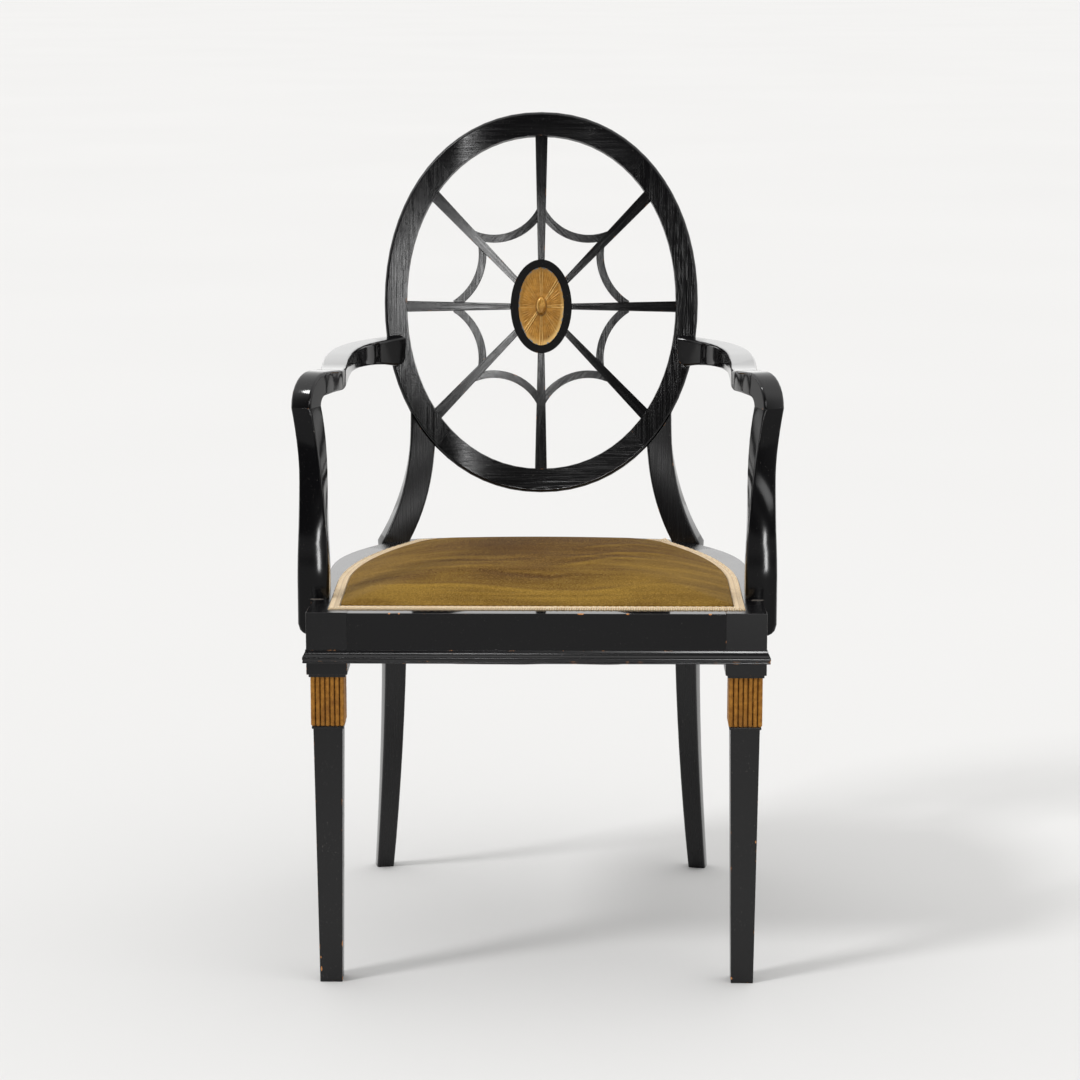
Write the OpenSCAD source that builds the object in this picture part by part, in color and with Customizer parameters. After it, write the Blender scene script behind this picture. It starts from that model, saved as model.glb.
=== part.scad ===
/* [Seat frame] */
// Width across the front of the seat frame
seat_w = 521; // [500:1:545]
// Height of the top of the seat rails above the floor
seat_h = 439; // [420:1:470]
// Height of the seat rails
rail_h = 58; // [54:1:64]
// Thickness of the seat rails
rail_t = 35; // [32:1:37]
// Slant of each side rail towards the back, in degrees
side_splay = 2.2; // [1:0.1:3]
// Length of the straight part of each side
side_length = 270; // [255:1:285]
// Radius of the curve where each side turns in
side_r = 235; // [225:1:250]
// Straight run between the side curve and the rear corner
corner_length = 18; // [14:1:24]
// Radius of each rear corner of the frame
corner_r = 40; // [38:1:46]
// Length of the tenons on the rails
tenon_l = 22; // [16:1:26]
// Thickness of the tenons on the rails
tenon_t = 10; // [8:1:12]
// Height of the tenons on the rails
tenon_h = 36; // [28:1:40]

/* [Rail moulding] */
// Height of the moulding planted along the foot of the rails
moulding_h = 15; // [12:0.5:18]
// How far the moulding stands out from the rails
moulding_p = 4.2; // [3:0.1:6]

/* [Front legs] */
// Width of the square block at the head of a front leg
leg_w = 46.5; // [43:0.5:50]
// Length of the leg block below the rails
leg_drop = 14; // [10:0.5:16]
// Width of the step under the leg block
step_w = 41.9; // [40:0.1:43]
// Height of the step under the leg block
step_h = 3.4; // [2:0.1:5]
// Width over the gilt reeding
reed_w = 38.5; // [36:0.5:40]
// Height of the gilt reeding
reed_h = 58; // [50:1:66]
// Number of reeds on each face
reed_count = 7; // [5:1:9]
// Width of the neck under the reeding
neck_w = 36.6; // [35:0.1:38]
// Height of the neck under the reeding
neck_h = 3; // [2:0.1:5]
// Width of the tapered leg under the neck
shin_w = 33.4; // [31:0.1:35]
// Width of a front foot on the floor
foot_w = 25.7; // [22:0.1:30]

/* [Rear legs and posts] */
// How far a rear leg stands out from the frame's rear corner
rear_out = 13; // [10:0.5:16]
// How far a rear leg's face stands ahead of the frame's rear corner
rear_ahead = 18; // [15:0.5:20]
// How far each rear foot stands out from the leg at the seat
rear_spread = 20; // [12:1:26]
// How far each rear foot stands behind the leg at the seat
rear_kick = 50; // [36:1:60]
// Width of a rear leg where it leaves the seat
rear_w = 36.5; // [34:0.5:39]
// Depth of a rear leg where it leaves the seat
rear_d = 25; // [23:0.5:27]
// Width of a rear leg just under the rails
rear_knee_w = 29; // [27:0.5:32]
// Width of a rear foot
rear_foot_w = 22; // [20:0.5:26]
// Depth of a rear foot
rear_foot_d = 20; // [18:0.5:24]
// Width of a post where it meets the oval
post_w = 31.5; // [29:0.5:34]
// Turn of the rear legs towards the sides of the chair, in degrees
rear_turn = 18; // [12:1:22]
// Turn of the rear feet, in degrees
foot_turn = 12; // [8:1:16]

/* [Oval back] */
// How far the oval's face lies behind a rear leg's face, both at the seat
back_set = 12.5; // [10:0.5:15]
// Rake of the back from upright, in degrees
rake = 8.8; // [6:0.1:11]
// Distance up the back from the seat to the middle of the oval
oval_rise = 299.3; // [290:0.1:310]
// Width over the oval
oval_w = 394; // [380:1:410]
// Height over the oval
oval_h = 477.4; // [460:0.1:490]
// Width of the oval's band at the sides
band_side = 27.5; // [25:0.5:30]
// Width of the oval's band at the top and bottom
band_end = 29.7; // [27:0.1:33]
// Thickness of the oval
oval_t = 24; // [22:0.5:26]
// Angle of the four joints of the oval, up from the middle
oval_joint = 49; // [46:1:52]
// Width over the hub
hub_w = 77; // [70:0.5:84]
// Height over the hub
hub_h = 117.5; // [110:0.5:124]
// Width of the hub's rim
hub_rim = 9.8; // [8.5:0.1:11]
// Thickness of the hub
hub_t = 20; // [17:0.5:22]
// Distance of the hub's middle below the oval's middle
hub_drop = 4.8; // [0:0.1:8]
// Width of a spoke at the oval
spoke_w = 16.5; // [14:0.5:18]
// Width of a spoke at the hub
spoke_tip_w = 8.5; // [7:0.5:10]
// Thickness of the spokes and the web
spoke_t = 12; // [10:0.5:14]
// Depth of the spokes behind the face of the oval
spoke_set = 3; // [1:0.5:4]
// Angle of the slanting spokes from the level
spoke_angle = 46; // [44:0.5:48]
// Width of the web arcs
web_w = 9.5; // [8:0.5:11]
// Distance of the web from the hub's middle, along an upright spoke
web_upright = 127.5; // [120:0.5:135]
// Distance of the web from the hub's middle, along a level spoke
web_level = 106.5; // [100:0.5:112]
// Distance of the upright arcs from the hub's middle, along a slanting spoke
web_slant_upright = 122.5; // [118:0.5:126]
// Distance of the level arcs from the hub's middle, along a slanting spoke
web_slant_level = 114.5; // [110:0.5:118]
// Radius of the web arcs beside the upright spokes
web_r_upright = 66; // [62:1:72]
// Radius of the web arcs beside the level spokes
web_r_level = 74; // [70:1:80]
// Width over the gilt oval button
button_w = 12; // [10:0.5:14]
// Height over the gilt oval button
button_h = 23; // [20:0.5:25]

/* [Arms] */
// Height of the arms' tops above the seat rails
arm_rise = 253; // [240:1:265]
// Width of the arms at the middle
arm_w = 31.5; // [29:0.5:34]
// Height of the arms at the middle
arm_h = 24; // [22:0.5:27]
// Rise of the arm's knuckle above the middle of the arm
arm_crest = 4; // [2:0.5:6]
// How far each arm laps over the oval
arm_lap = 22.5; // [20:0.5:25]
// How far the head of an arm post stands outside its foot
arm_flare = 8; // [4:0.5:12]
// How far the head of an arm post stands behind its foot
arm_set_back = 17; // [10:1:22]
// Radius of the lower corner where an arm ends on the oval
arm_end_r = 7; // [4:0.5:10]
// Radius of the bend where an arm turns down
arm_bend_r = 24; // [20:1:28]
// Distance from the front rail's face to the middle of an arm post at the seat
arm_post_y = 88; // [84:1:92]
// How far an arm post laps outside the side rail
arm_post_out = 18.5; // [16:0.5:21]
// Width of an arm post at the seat
arm_post_w = 36.5; // [34:0.5:39]
// Depth of an arm post at the seat
arm_post_d = 32; // [28:0.5:36]
// Width of an arm post at its head
arm_head_w = 26.5; // [24:0.5:29]
// Depth of an arm post at its head
arm_head_d = 28; // [26:0.5:30]
// Gap between the moulding and the lap of an arm post
lap_gap = 0.8; // [0.4:0.1:3]

/* [Upholstery] */
// Bare border of the frame at each side of the upholstery, at the front
border_side = 24; // [22:0.5:27]
// Bare border of the frame in front of the upholstery
border_front = 18; // [16:0.5:19]
// How much shorter the straight sides of the upholstery are than those of the frame
pad_short = 117; // [110:1:125]
// Radius of the upholstery's curved sides
pad_side_r = 450; // [440:5:460]
// Height of the cushion's crown above the rails
crown = 25; // [15:1:35]
// Width of the gimp braid
gimp_w = 12.5; // [11:0.5:13]
// Depth of the rebate that takes the edge of the upholstery
rebate = 6; // [5:0.5:8]
// Width of the webbing strips
webbing_w = 50; // [45:1:56]
// Number of webbing strips each way
webbing_count = 4; // [3:1:5]
// Sag of the bottom canvas under the rails
canvas_sag = 27; // [10:1:32]

/* [Hidden] */
fit = 0.15;
touch = 0.3;
over = 1;
$fn = 32;
oval_power = 2.1;
oval_step = 5;

// Outlines: half width, front, splay, straight run, side radius, turn of the side,
// run to the corner, corner radius and turn at the back
side_steps = 8;
corner_steps = 4;
back_steps = 5;
frame_shape = [seat_w / 2, 0, side_splay, side_length, side_r, 42, corner_length, corner_r, 77.5];
pad_corner_length = 32;
pad_corner_r = 25;
pad_w = seat_w - 2 * border_side;
pad_shape = [pad_w / 2, border_front, 0, side_length - pad_short, pad_side_r, 30, pad_corner_length,
    pad_corner_r, 81];

// Levels, from the floor up
rail_z = seat_h - rail_h;
block_z = rail_z - leg_drop;
step_z = block_z - step_h;
reed_z = step_z - reed_h;
neck_z = reed_z - neck_h;
rebate_z = seat_h - rebate;
webbing_t = 1.2;
hessian_t = 0.8;
cover_t = 1.2;
hessian_z = rebate_z + 2 * webbing_t;
pad_z = hessian_z + hessian_t;
flange_z = pad_z + fit;
gimp_z = flange_z + cover_t + fit;
arm_z = seat_h + arm_rise;

// Place of the rear legs and the raked back
rear_corner = station_point(stations(frame_shape)[side_steps + 1 + corner_steps / 2], 0);
rear_x = rear_corner[0] + rear_out;
rear_y = rear_corner[1] - rear_ahead;
back_y = rear_y + back_set;
back_reach = back_y + (oval_rise + oval_h / 2) * sin(rake) + oval_t * cos(rake);
middle_y = (back_reach - moulding_p) / 2;

// Points of an outline with a slanting side, a curved flank, a corner and a bowed back.
// Each station is a centre, a radius and the direction that the edge faces.
function ray(a) = [cos(a), sin(a)];
function heading(a) = [-sin(a), cos(a)];
function stations(p) =
    let (flank = [p[0], p[1]] + p[3] * heading(p[2]))
    let (flank_c = flank - p[4] * ray(p[2]))
    let (corner = flank_c + p[4] * ray(p[5]) + p[6] * heading(p[5]))
    let (corner_c = corner - p[7] * ray(p[5]))
    let (back = corner_c + p[7] * ray(p[8]))
    let (back_r = back[0] / cos(p[8]))
    let (back_c = [0, back[1] - back_r * sin(p[8])])
    concat(
        [for (i = [0 : side_steps]) [flank_c, p[4], p[2] + (p[5] - p[2]) * i / side_steps]],
        [for (i = [0 : corner_steps]) [corner_c, p[7], p[5] + (p[8] - p[5]) * i / corner_steps]],
        [for (i = [1 : back_steps]) [back_c, back_r, p[8] + (90 - p[8]) * i / back_steps]]);
function station_point(s, inset) = s[0] + (s[1] - inset) * ray(s[2]);
function side_x(p, inset, y) = p[0] - (inset + (y - p[1]) * sin(p[2])) / cos(p[2]);
function flip(points) = [for (i = [len(points) - 1 : -1 : 0]) [-points[i][0], points[i][1]]];
function reversed(points) = [for (i = [len(points) - 1 : -1 : 0]) points[i]];

// Right half of an outline, from its front corner to the middle of its back
function half(p, inset, front) =
    concat([[side_x(p, inset, p[1] + front), p[1] + front]],
        [for (s = stations(p)) station_point(s, inset)]);
function whole(p, inset, front) =
    let (right = half(p, inset, front))
    concat(right, [for (i = [len(right) - 2 : -1 : 0]) [-right[i][0], right[i][1]]]);

// A solid through a list of closed sections, with flat ends
module loft(sections) {
    n = len(sections[0]);
    m = len(sections);
    polyhedron(
        points = [for (s = sections) each s],
        faces = concat(
            [[for (i = [0 : n - 1]) i]],
            [for (j = [0 : m - 2], i = [0 : n - 1])
                each [[j * n + i, (j + 1) * n + i, (j + 1) * n + (i + 1) % n],
                    [j * n + i, (j + 1) * n + (i + 1) % n, j * n + (i + 1) % n]]],
            [[for (i = [n - 1 : -1 : 0]) (m - 1) * n + i]]));
}

// A closed ring through a list of sections
module loop(sections) {
    n = len(sections[0]);
    m = len(sections);
    polyhedron(
        points = [for (s = sections) each s],
        faces = [for (j = [0 : m - 1], i = [0 : n - 1])
            let (k = (j + 1) % m)
            each [[j * n + i, k * n + i, k * n + (i + 1) % n],
                [j * n + i, k * n + (i + 1) % n, j * n + (i + 1) % n]]]);
}

// A rectangle with rounded corners, as points
function soft_box(w, d, r) =
    [for (c = [0 : 3], k = [0 : 2])
        let (a = 90 * c + 45 * k)
        let (sx = c == 0 || c == 3 ? 1 : -1)
        let (sy = c < 2 ? 1 : -1)
        [sx * (w / 2 - r) + r * cos(a), sy * (d / 2 - r) + r * sin(a)]];
function turned(points, yaw, x, y, z) =
    [for (p = points) [x + p[0] * cos(yaw) - p[1] * sin(yaw), y + p[0] * sin(yaw) + p[1] * cos(yaw), z]];
function ease(t) = t <= 0 ? 0 : t >= 1 ? 1 : t * t * (3 - 2 * t);
function clamp(t) = min(1, max(0, t));

// Moves a piece so that the chair stands over the origin
module stand() {
    translate([0, -middle_y, 0]) children();
}
module both_sides() {
    children();
    mirror([1, 0, 0]) children();
}
module side(s) {
    if (s > 0) children();
    else mirror([1, 0, 0]) children();
}
module prism(points, z, h) {
    translate([0, 0, z]) linear_extrude(h) polygon(points);
}

// Rails of the seat frame
joint_side = 6;
joint_back = side_steps + corner_steps + 2;
frame_stations = stations(frame_shape);
tenon_lift = 8;
tenon_gap = 4;
tenon_z = rail_z + tenon_lift;
tenon_shoulder = (rail_t - tenon_t) / 2;

function frame_band(first, last) =
    concat([for (i = [first : last]) station_point(frame_stations[i], 0)],
        [for (i = [last : -1 : first]) station_point(frame_stations[i], rail_t)]);

module upholstery_rebate() {
    prism(whole(pad_shape, -touch, -touch), rebate_z, rebate + over);
}

// A tongue that crosses a rail joint, square to the rail
module rail_tongue(s, back, ahead, slack) {
    p = station_point(s, rail_t / 2);
    translate([p[0], p[1], tenon_z - slack]) rotate([0, 0, s[2]])
        translate([-tenon_t / 2 - slack, -back, 0])
            cube([tenon_t + 2 * slack, back + ahead + slack, tenon_h + 2 * slack]);
}
module front_tongue(slack) {
    translate([seat_w / 2 - leg_w - over, tenon_shoulder - slack, tenon_z - slack])
        cube([tenon_l + over + slack, tenon_t + 2 * slack, tenon_h + 2 * slack]);
}
// The side tenon stops short of the front tenon inside the leg
side_tenon_l = leg_w - tenon_shoulder - tenon_t - tenon_gap;
module side_tongue(slack) {
    x = side_x(frame_shape, rail_t / 2, leg_w);
    translate([x - tenon_t / 2 - slack, leg_w - side_tenon_l - slack, tenon_z - slack])
        cube([tenon_t + 2 * slack, side_tenon_l + over + slack, tenon_h + 2 * slack]);
}

// Screws that hold the arm posts and the corner blocks
screw_r = 2.2;
screw_head_r = 4.2;
screw_head_h = 3.2;
screw_slot = 1;
post_screw_l = 46;
post_screw_gap = 16;
block_screw_l = 40;
module screw(l, slack) {
    cylinder(r = screw_r + slack, h = l + slack);
    translate([0, 0, -slack]) cylinder(r1 = screw_head_r + slack, r2 = screw_r + slack, h = screw_head_h);
}
module slotted_screw(l) {
    difference() {
        screw(l, 0);
        translate([-screw_head_r, -screw_slot / 2, -over])
            cube([2 * screw_head_r, screw_slot, over + screw_slot]);
    }
}
// Places of the screws that hold one arm post, heads on the inside of the rail
module at_post_screws() {
    z = (rail_z + moulding_h + seat_h) / 2;
    x = side_x(frame_shape, rail_t, arm_post_y);
    for (k = [-1, 1])
        translate([x, arm_post_y, z + k * post_screw_gap / 2]) rotate([0, 90, 0]) rotate([0, 0, 90])
            children();
}

module front_rail() {
    inner = seat_w / 2 - leg_w;
    color("#17161a") stand() difference() {
        union() {
            translate([-inner, 0, rail_z]) cube([2 * inner, rail_t, rail_h]);
            both_sides() front_tongue(0);
        }
        upholstery_rebate();
        both_sides() front_block_screw() screw(block_screw_l, fit);
    }
}
module side_rail(s) {
    start = [side_x(frame_shape, 0, leg_w), leg_w];
    end = [side_x(frame_shape, rail_t, leg_w), leg_w];
    color("#17161a") stand() side(s) difference() {
        union() {
            prism(concat([start], frame_band(0, joint_side), [end]), rail_z, rail_h);
            side_tongue(0);
            rail_tongue(frame_stations[joint_side], over, tenon_l, 0);
        }
        upholstery_rebate();
        at_post_screws() screw(post_screw_l, fit);
        side_block_screw() screw(block_screw_l, fit);
        rear_side_block_screw() screw(block_screw_l, fit);
    }
}
module back_rail() {
    right = [for (i = [joint_back : len(frame_stations) - 1]) frame_stations[i]];
    outer = [for (s = right) station_point(s, 0)];
    inner = [for (s = right) station_point(s, rail_t)];
    color("#17161a") stand() difference() {
        union() {
            prism(concat(outer, flip([for (i = [0 : len(outer) - 2]) outer[i]]),
                flip(reversed(inner)), reversed([for (i = [0 : len(inner) - 2]) inner[i]])), rail_z, rail_h);
            both_sides() rail_tongue_back(0);
        }
        upholstery_rebate();
        both_sides() rear_back_block_screw() screw(block_screw_l, fit);
    }
}
module rail_tongue_back(slack) {
    s = frame_stations[joint_back];
    p = station_point(s, rail_t / 2);
    translate([p[0], p[1], tenon_z - slack]) rotate([0, 0, s[2]])
        translate([-tenon_t / 2 - slack, -tenon_l - slack, 0])
            cube([tenon_t + 2 * slack, tenon_l + over + slack, tenon_h + 2 * slack]);
}

// Corner blocks inside the frame
block_h = 34;
block_rise = 6;
block_reach = 62;
block_screw_share = 0.35;
block_inset = 14;
function block_inner_x(y) = side_x(frame_shape, rail_t, y);
module front_block_screw() {
    y = rail_t + block_inset;
    translate([seat_w / 2 - leg_w - block_reach * block_screw_share, y, rail_z + block_rise + block_h / 2])
        rotate([90, 0, 0]) children();
}
module side_block_screw() {
    y = leg_w + block_reach * block_screw_share;
    translate([block_inner_x(y) - block_inset, y, rail_z + block_rise + block_h / 2])
        rotate([0, 90, 0]) children();
}
module front_corner_block(s) {
    x = seat_w / 2 - leg_w - fit;
    y = leg_w + fit;
    top = leg_w + block_reach;
    color("#8a6a45") stand() side(s) difference() {
        prism([[x - block_reach, rail_t], [x, rail_t], [x, y], [block_inner_x(y), y],
            [block_inner_x(top), top]], rail_z + block_rise, block_h);
        front_block_screw() block_bore();
        side_block_screw() block_bore();
    }
}
// A bore for the shank, widened so that the driver reaches the head
module block_bore() {
    screw(block_screw_l, fit);
    translate([0, 0, -block_screw_l]) cylinder(r = screw_head_r + fit, h = block_screw_l);
}
rear_block_first = joint_side - 2;
rear_block_last = joint_back + 1;
module block_screw_at(i) {
    s = frame_stations[i];
    p = station_point(s, rail_t + block_inset);
    translate([p[0], p[1], rail_z + block_rise + block_h / 2]) rotate([0, 0, s[2]]) rotate([0, 90, 0])
        children();
}
module rear_side_block_screw() {
    block_screw_at(joint_side - 1) children();
}
module rear_back_block_screw() {
    block_screw_at(joint_back + 1) children();
}
module rear_corner_block(s) {
    color("#8a6a45") stand() side(s) difference() {
        prism([for (i = [rear_block_first : rear_block_last + 1])
            station_point(frame_stations[min(i, len(frame_stations) - 1)], rail_t)],
            rail_z + block_rise, block_h);
        rear_side_block_screw() block_bore();
        rear_back_block_screw() block_bore();
    }
}
module corner_block_screws() {
    color("#b08a4a") stand() both_sides() {
        front_block_screw() slotted_screw(block_screw_l);
        side_block_screw() slotted_screw(block_screw_l);
        rear_side_block_screw() slotted_screw(block_screw_l);
        rear_back_block_screw() slotted_screw(block_screw_l);
    }
}

// Moulding, as its distance out and its height, in shares of its own sizes
moulding_shares = [[0, 0], [0.86, 0], [0.95, 0.1], [0.78, 0.18], [1, 0.3], [0.95, 0.48], [0.62, 0.56],
    [0.34, 0.7], [0.24, 0.88], [0.2, 1], [0, 1]];
function moulding_section(corner, way) =
    [for (m = reversed(moulding_shares))
        let (p = corner + way * m[0] * moulding_p)
        [p[0], p[1], rail_z + m[1] * moulding_h]];
mitre_way = [(1 + sin(side_splay)) / cos(side_splay), -1];
front_corner = [seat_w / 2, 0];

module front_moulding() {
    reach = front_corner + mitre_way * 2 * moulding_p;
    color("#17161a") stand() intersection() {
        rotate([90, 0, 90]) linear_extrude(2 * seat_w, center = true)
            polygon([for (m = moulding_shares) [-m[0] * moulding_p, rail_z + m[1] * moulding_h]]);
        prism([[-front_corner[0], 0], [-reach[0], reach[1]], reach, front_corner], rail_z, moulding_h);
    }
}
module side_moulding(s) {
    flank = [for (i = [0 : joint_side]) frame_stations[i]];
    color("#17161a") stand() side(s) loft(concat([moulding_section(front_corner, mitre_way)],
        [for (f = flank) moulding_section(station_point(f, 0), ray(f[2]))]));
}

// Front legs
module taper(w0, w1, h) {
    intersection() {
        rotate([90, 0, 0]) linear_extrude(w0 + w1, center = true)
            polygon([[-w0 / 2, 0], [w0 / 2, 0], [w1 / 2, h], [-w1 / 2, h]]);
        rotate([90, 0, 90]) linear_extrude(w0 + w1, center = true)
            polygon([[-w0 / 2, 0], [w0 / 2, 0], [w1 / 2, h], [-w1 / 2, h]]);
    }
}
module post_block(w, z, h) {
    translate([-w / 2, -w / 2, z]) cube([w, w, h]);
}
reed_r = reed_w / (2 * reed_count);
reed_plate = 3;
core_w = reed_w - 2 * (reed_r + reed_plate);
leg_x = seat_w / 2 - leg_w / 2;

module front_leg(s) {
    color("#17161a") stand() side(s) difference() {
        union() {
            prism([[seat_w / 2 - leg_w, 0], front_corner, [side_x(frame_shape, 0, leg_w), leg_w],
                [seat_w / 2 - leg_w, leg_w]], block_z, leg_drop + rail_h);
            translate([leg_x, leg_w / 2, 0]) {
                post_block(step_w, step_z, step_h + over);
                post_block(core_w, neck_z - over, block_z - neck_z + 2 * over);
                post_block(neck_w, neck_z, neck_h);
                taper(foot_w, shin_w, neck_z + over);
            }
        }
        front_tongue(fit);
        side_tongue(fit);
        upholstery_rebate();
    }
}
// Four mitred strips of reeds planted round the core of a front leg
module reeding(s) {
    face = reed_w / 2 - reed_r;
    color("#b07d32") stand() side(s) translate([leg_x, leg_w / 2, 0]) for (k = [0 : 3])
        rotate([0, 0, 90 * k]) intersection() {
            union() {
                translate([-face, -face, reed_z]) cube([2 * face, reed_plate, reed_h]);
                for (i = [0 : reed_count - 1])
                    translate([-face + 2 * face * i / (reed_count - 1), -face, reed_z + reed_r]) {
                        cylinder(r = reed_r, h = reed_h - reed_r);
                        sphere(r = reed_r);
                    }
            }
            prism([[0, -fit], [reed_w, -reed_w - fit], [-reed_w, -reed_w - fit]], reed_z, reed_h);
            translate([-reed_w, -reed_w, reed_z]) cube([2 * reed_w, reed_w - core_w / 2, reed_h]);
        }
}

// Rear legs, each sawn in one piece from the foot to the oval
post_angle = 318;
post_in = 20;
post_over = 14;
post_end = outer_point(post_angle);
post_end_z = seat_h + post_end[1] * cos(rake) + post_in;
lean_power = 2.6;
spread_power = 1.9;
kick_power = 2.8;
knee_power = 0.8;
turn_share = 0.8;
leg_soft = 3;
function leg_t(z) = clamp((rail_z - z) / rail_z);
function post_t(z) = clamp((z - seat_h) / (post_end_z - seat_h));
function rear_face_x(z) = rear_x + rear_spread * pow(leg_t(z), spread_power)
    - (rear_x - post_end[0]) * (1 - pow(1 - post_t(z), lean_power));
function rear_face_y(z) = z < seat_h ? rear_y + rear_kick * pow(leg_t(z), kick_power)
    : back_y + (z - seat_h) * tan(rake) - back_set * pow(1 - post_t(z), 2);
function rear_section_w(z) =
    z < rail_z ? rear_foot_w + (rear_knee_w - rear_foot_w) * pow(1 - leg_t(z), knee_power)
    : z < seat_h ? rear_knee_w + (rear_w - rear_knee_w) * (z - rail_z) / rail_h
    : post_w + (rear_w - post_w) * pow(1 - post_t(z), 2);
function rear_section_d(z) = z < rail_z ? rear_foot_d + (rear_d - rear_foot_d) * (1 - leg_t(z))
    : rear_d + (oval_t / cos(rake) - rear_d) * post_t(z);
function rear_yaw(z) = z < seat_h ? -rear_turn + (rear_turn - foot_turn) * leg_t(z)
    : -rear_turn * clamp(1 - post_t(z) / turn_share);
function rear_section(z) =
    let (d = rear_section_d(z))
    let (yaw = rear_yaw(z))
    turned(soft_box(rear_section_w(z), d, leg_soft), yaw,
        rear_face_x(z) - sin(yaw) * d / 2, rear_face_y(z) + cos(yaw) * d / 2, z);
leg_steps = 9;
post_steps = 14;
leg_levels = concat([for (i = [0 : leg_steps]) rail_z * i / leg_steps],
    [for (i = [0 : post_steps]) seat_h + (post_end_z + post_over - seat_h) * i / post_steps]);

module rear_leg(s) {
    color("#17161a") stand() side(s) difference() {
        union() {
            loft([for (z = leg_levels) rear_section(z)]);
            prism(frame_band(joint_side, joint_back), rail_z, rail_h);
        }
        rail_tongue(frame_stations[joint_side], over, tenon_l, fit);
        rail_tongue_back(fit);
        upholstery_rebate();
        in_back() oval_slab(0, -oval_t, 3 * oval_t);
        in_back() post_dowel(fit);
    }
}

// The oval back lies in its own raked plane: x across, z up the plane, y into it
module in_back() {
    translate([0, back_y, seat_h]) rotate([-rake, 0, 0]) children();
}
function sign_power(v, p) = sign(v) * pow(abs(v), p);
function oval_point(a, w, h, power) =
    [w / 2 * sign_power(cos(a), 2 / power), h / 2 * sign_power(sin(a), 2 / power)];
function outer_point(a) = [0, oval_rise] + oval_point(a, oval_w, oval_h, oval_power);
function inner_point(a) =
    [0, oval_rise] + oval_point(a, oval_w - 2 * band_side, oval_h - 2 * band_end, oval_power);
module slab(points, y, t) {
    translate([0, y + t, 0]) rotate([90, 0, 0]) linear_extrude(t) polygon(points);
}
module oval_slab(grow, y, t) {
    slab([for (a = [0 : oval_step : 355])
        [0, oval_rise] + oval_point(a, oval_w + 2 * grow, oval_h + 2 * grow, oval_power)], y, t);
}
module inner_slab(grow, y, t) {
    slab([for (a = [0 : oval_step : 355]) [0, oval_rise] + oval_point(a,
        oval_w - 2 * band_side + 2 * grow, oval_h - 2 * band_end + 2 * grow, oval_power)], y, t);
}

// The band is flat in front with softened outer edges, as distances from its inner edge
arris_r = 4;
back_arris = 2;
function band_section(a) =
    let (p = inner_point(a))
    let (q = outer_point(a))
    let (w = norm(q - p))
    let (u = (q - p) / w)
    [for (m = [[0, 0], [w - arris_r, 0], [w - arris_r * 0.3, arris_r * 0.3], [w, arris_r],
        [w, oval_t - back_arris], [w - back_arris, oval_t], [0, oval_t]])
        [p[0] + u[0] * m[0], m[1], p[1] + u[1] * m[0]]];
module band(a0, a1) {
    n = round((a1 - a0) / oval_step);
    loft([for (i = [0 : n]) band_section(a0 + (a1 - a0) * i / n)]);
}

// Dowels across the four joints of the oval
dowel_r = 4;
dowel_l = 30;
module at_oval_joints() {
    for (a = [oval_joint, 180 - oval_joint, 180 + oval_joint, 360 - oval_joint]) {
        p = (inner_point(a) + outer_point(a)) / 2;
        u = outer_point(a) - inner_point(a);
        translate([p[0], oval_t / 2, p[1]]) rotate([0, -atan2(u[1], u[0]), 0]) children();
    }
}
module oval_dowel(slack) {
    translate([0, 0, -dowel_l / 2 - slack]) cylinder(r = dowel_r + slack, h = dowel_l + 2 * slack);
}
// A dowel from the head of each post into the lower part of the oval
post_dowel_in = 16;
module post_dowel(slack) {
    translate([post_end[0], oval_t / 2, post_end[1] - post_dowel_in - slack])
        cylinder(r = dowel_r + slack, h = 2 * post_dowel_in + 2 * slack);
}

// Spokes run out from the hub's middle, with a tongue at each end
tongue_t = 5;
tongue_cheek = 1.5;
tongue_in = 8;
hub_tongue_in = 5;
hub_z = oval_rise - hub_drop;
spoke_angles = [0, spoke_angle, 90, 180 - spoke_angle, 180, 180 + spoke_angle, 270, 360 - spoke_angle];
tongue_y = spoke_set + (spoke_t - tongue_t) / 2;
spoke_reach = oval_h / 2;
function spoke_half_w(r) =
    let (along = (r - hub_h / 2) / (spoke_reach - hub_h / 2))
    (spoke_tip_w + (spoke_w - spoke_tip_w) * along) / 2;
module spoke_bar(a, trim, y, t) {
    r0 = hub_w / 4;
    r1 = spoke_reach;
    w0 = spoke_half_w(r0) - trim;
    w1 = spoke_half_w(r1) - trim;
    translate([0, 0, hub_z]) rotate([0, -a, 0]) slab([[r0, -w0], [r1, -w1], [r1, w1], [r0, w0]], y, t);
}
module hub_slab(grow, y, t) {
    slab([for (a = [0 : oval_step : 355]) [0, hub_z] + oval_point(a, hub_w + 2 * grow, hub_h + 2 * grow, 2)],
        y, t);
}
module spoke_tongue(i, slack) {
    difference() {
        intersection() {
            spoke_bar(spoke_angles[i], tongue_cheek - slack, tongue_y - slack, tongue_t + 2 * slack);
            inner_slab(tongue_in + slack, 0, oval_t);
        }
        hub_slab(-hub_tongue_in - slack, -over, oval_t + 2 * over);
    }
}
module spoke(i) {
    color("#1d1c1f") stand() in_back() union() {
        difference() {
            intersection() {
                spoke_bar(spoke_angles[i], 0, spoke_set, spoke_t);
                inner_slab(0, 0, oval_t);
            }
            hub_slab(0, -over, oval_t + 2 * over);
        }
        spoke_tongue(i, 0);
    }
}
module oval_segment(a0, a1, spokes) {
    color("#17161a") stand() in_back() difference() {
        band(a0, a1);
        at_oval_joints() oval_dowel(fit);
        for (i = spokes) spoke_tongue(i, fit);
        both_sides() post_dowel(fit);
        both_sides() arm_screw(fit);
    }
}
module oval_dowels() {
    color("#c9a46c") stand() in_back() at_oval_joints() oval_dowel(0);
}
module post_dowels() {
    color("#c9a46c") stand() in_back() both_sides() post_dowel(0);
}

// Web arcs between neighbouring spokes
web_steps = 16;
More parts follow.
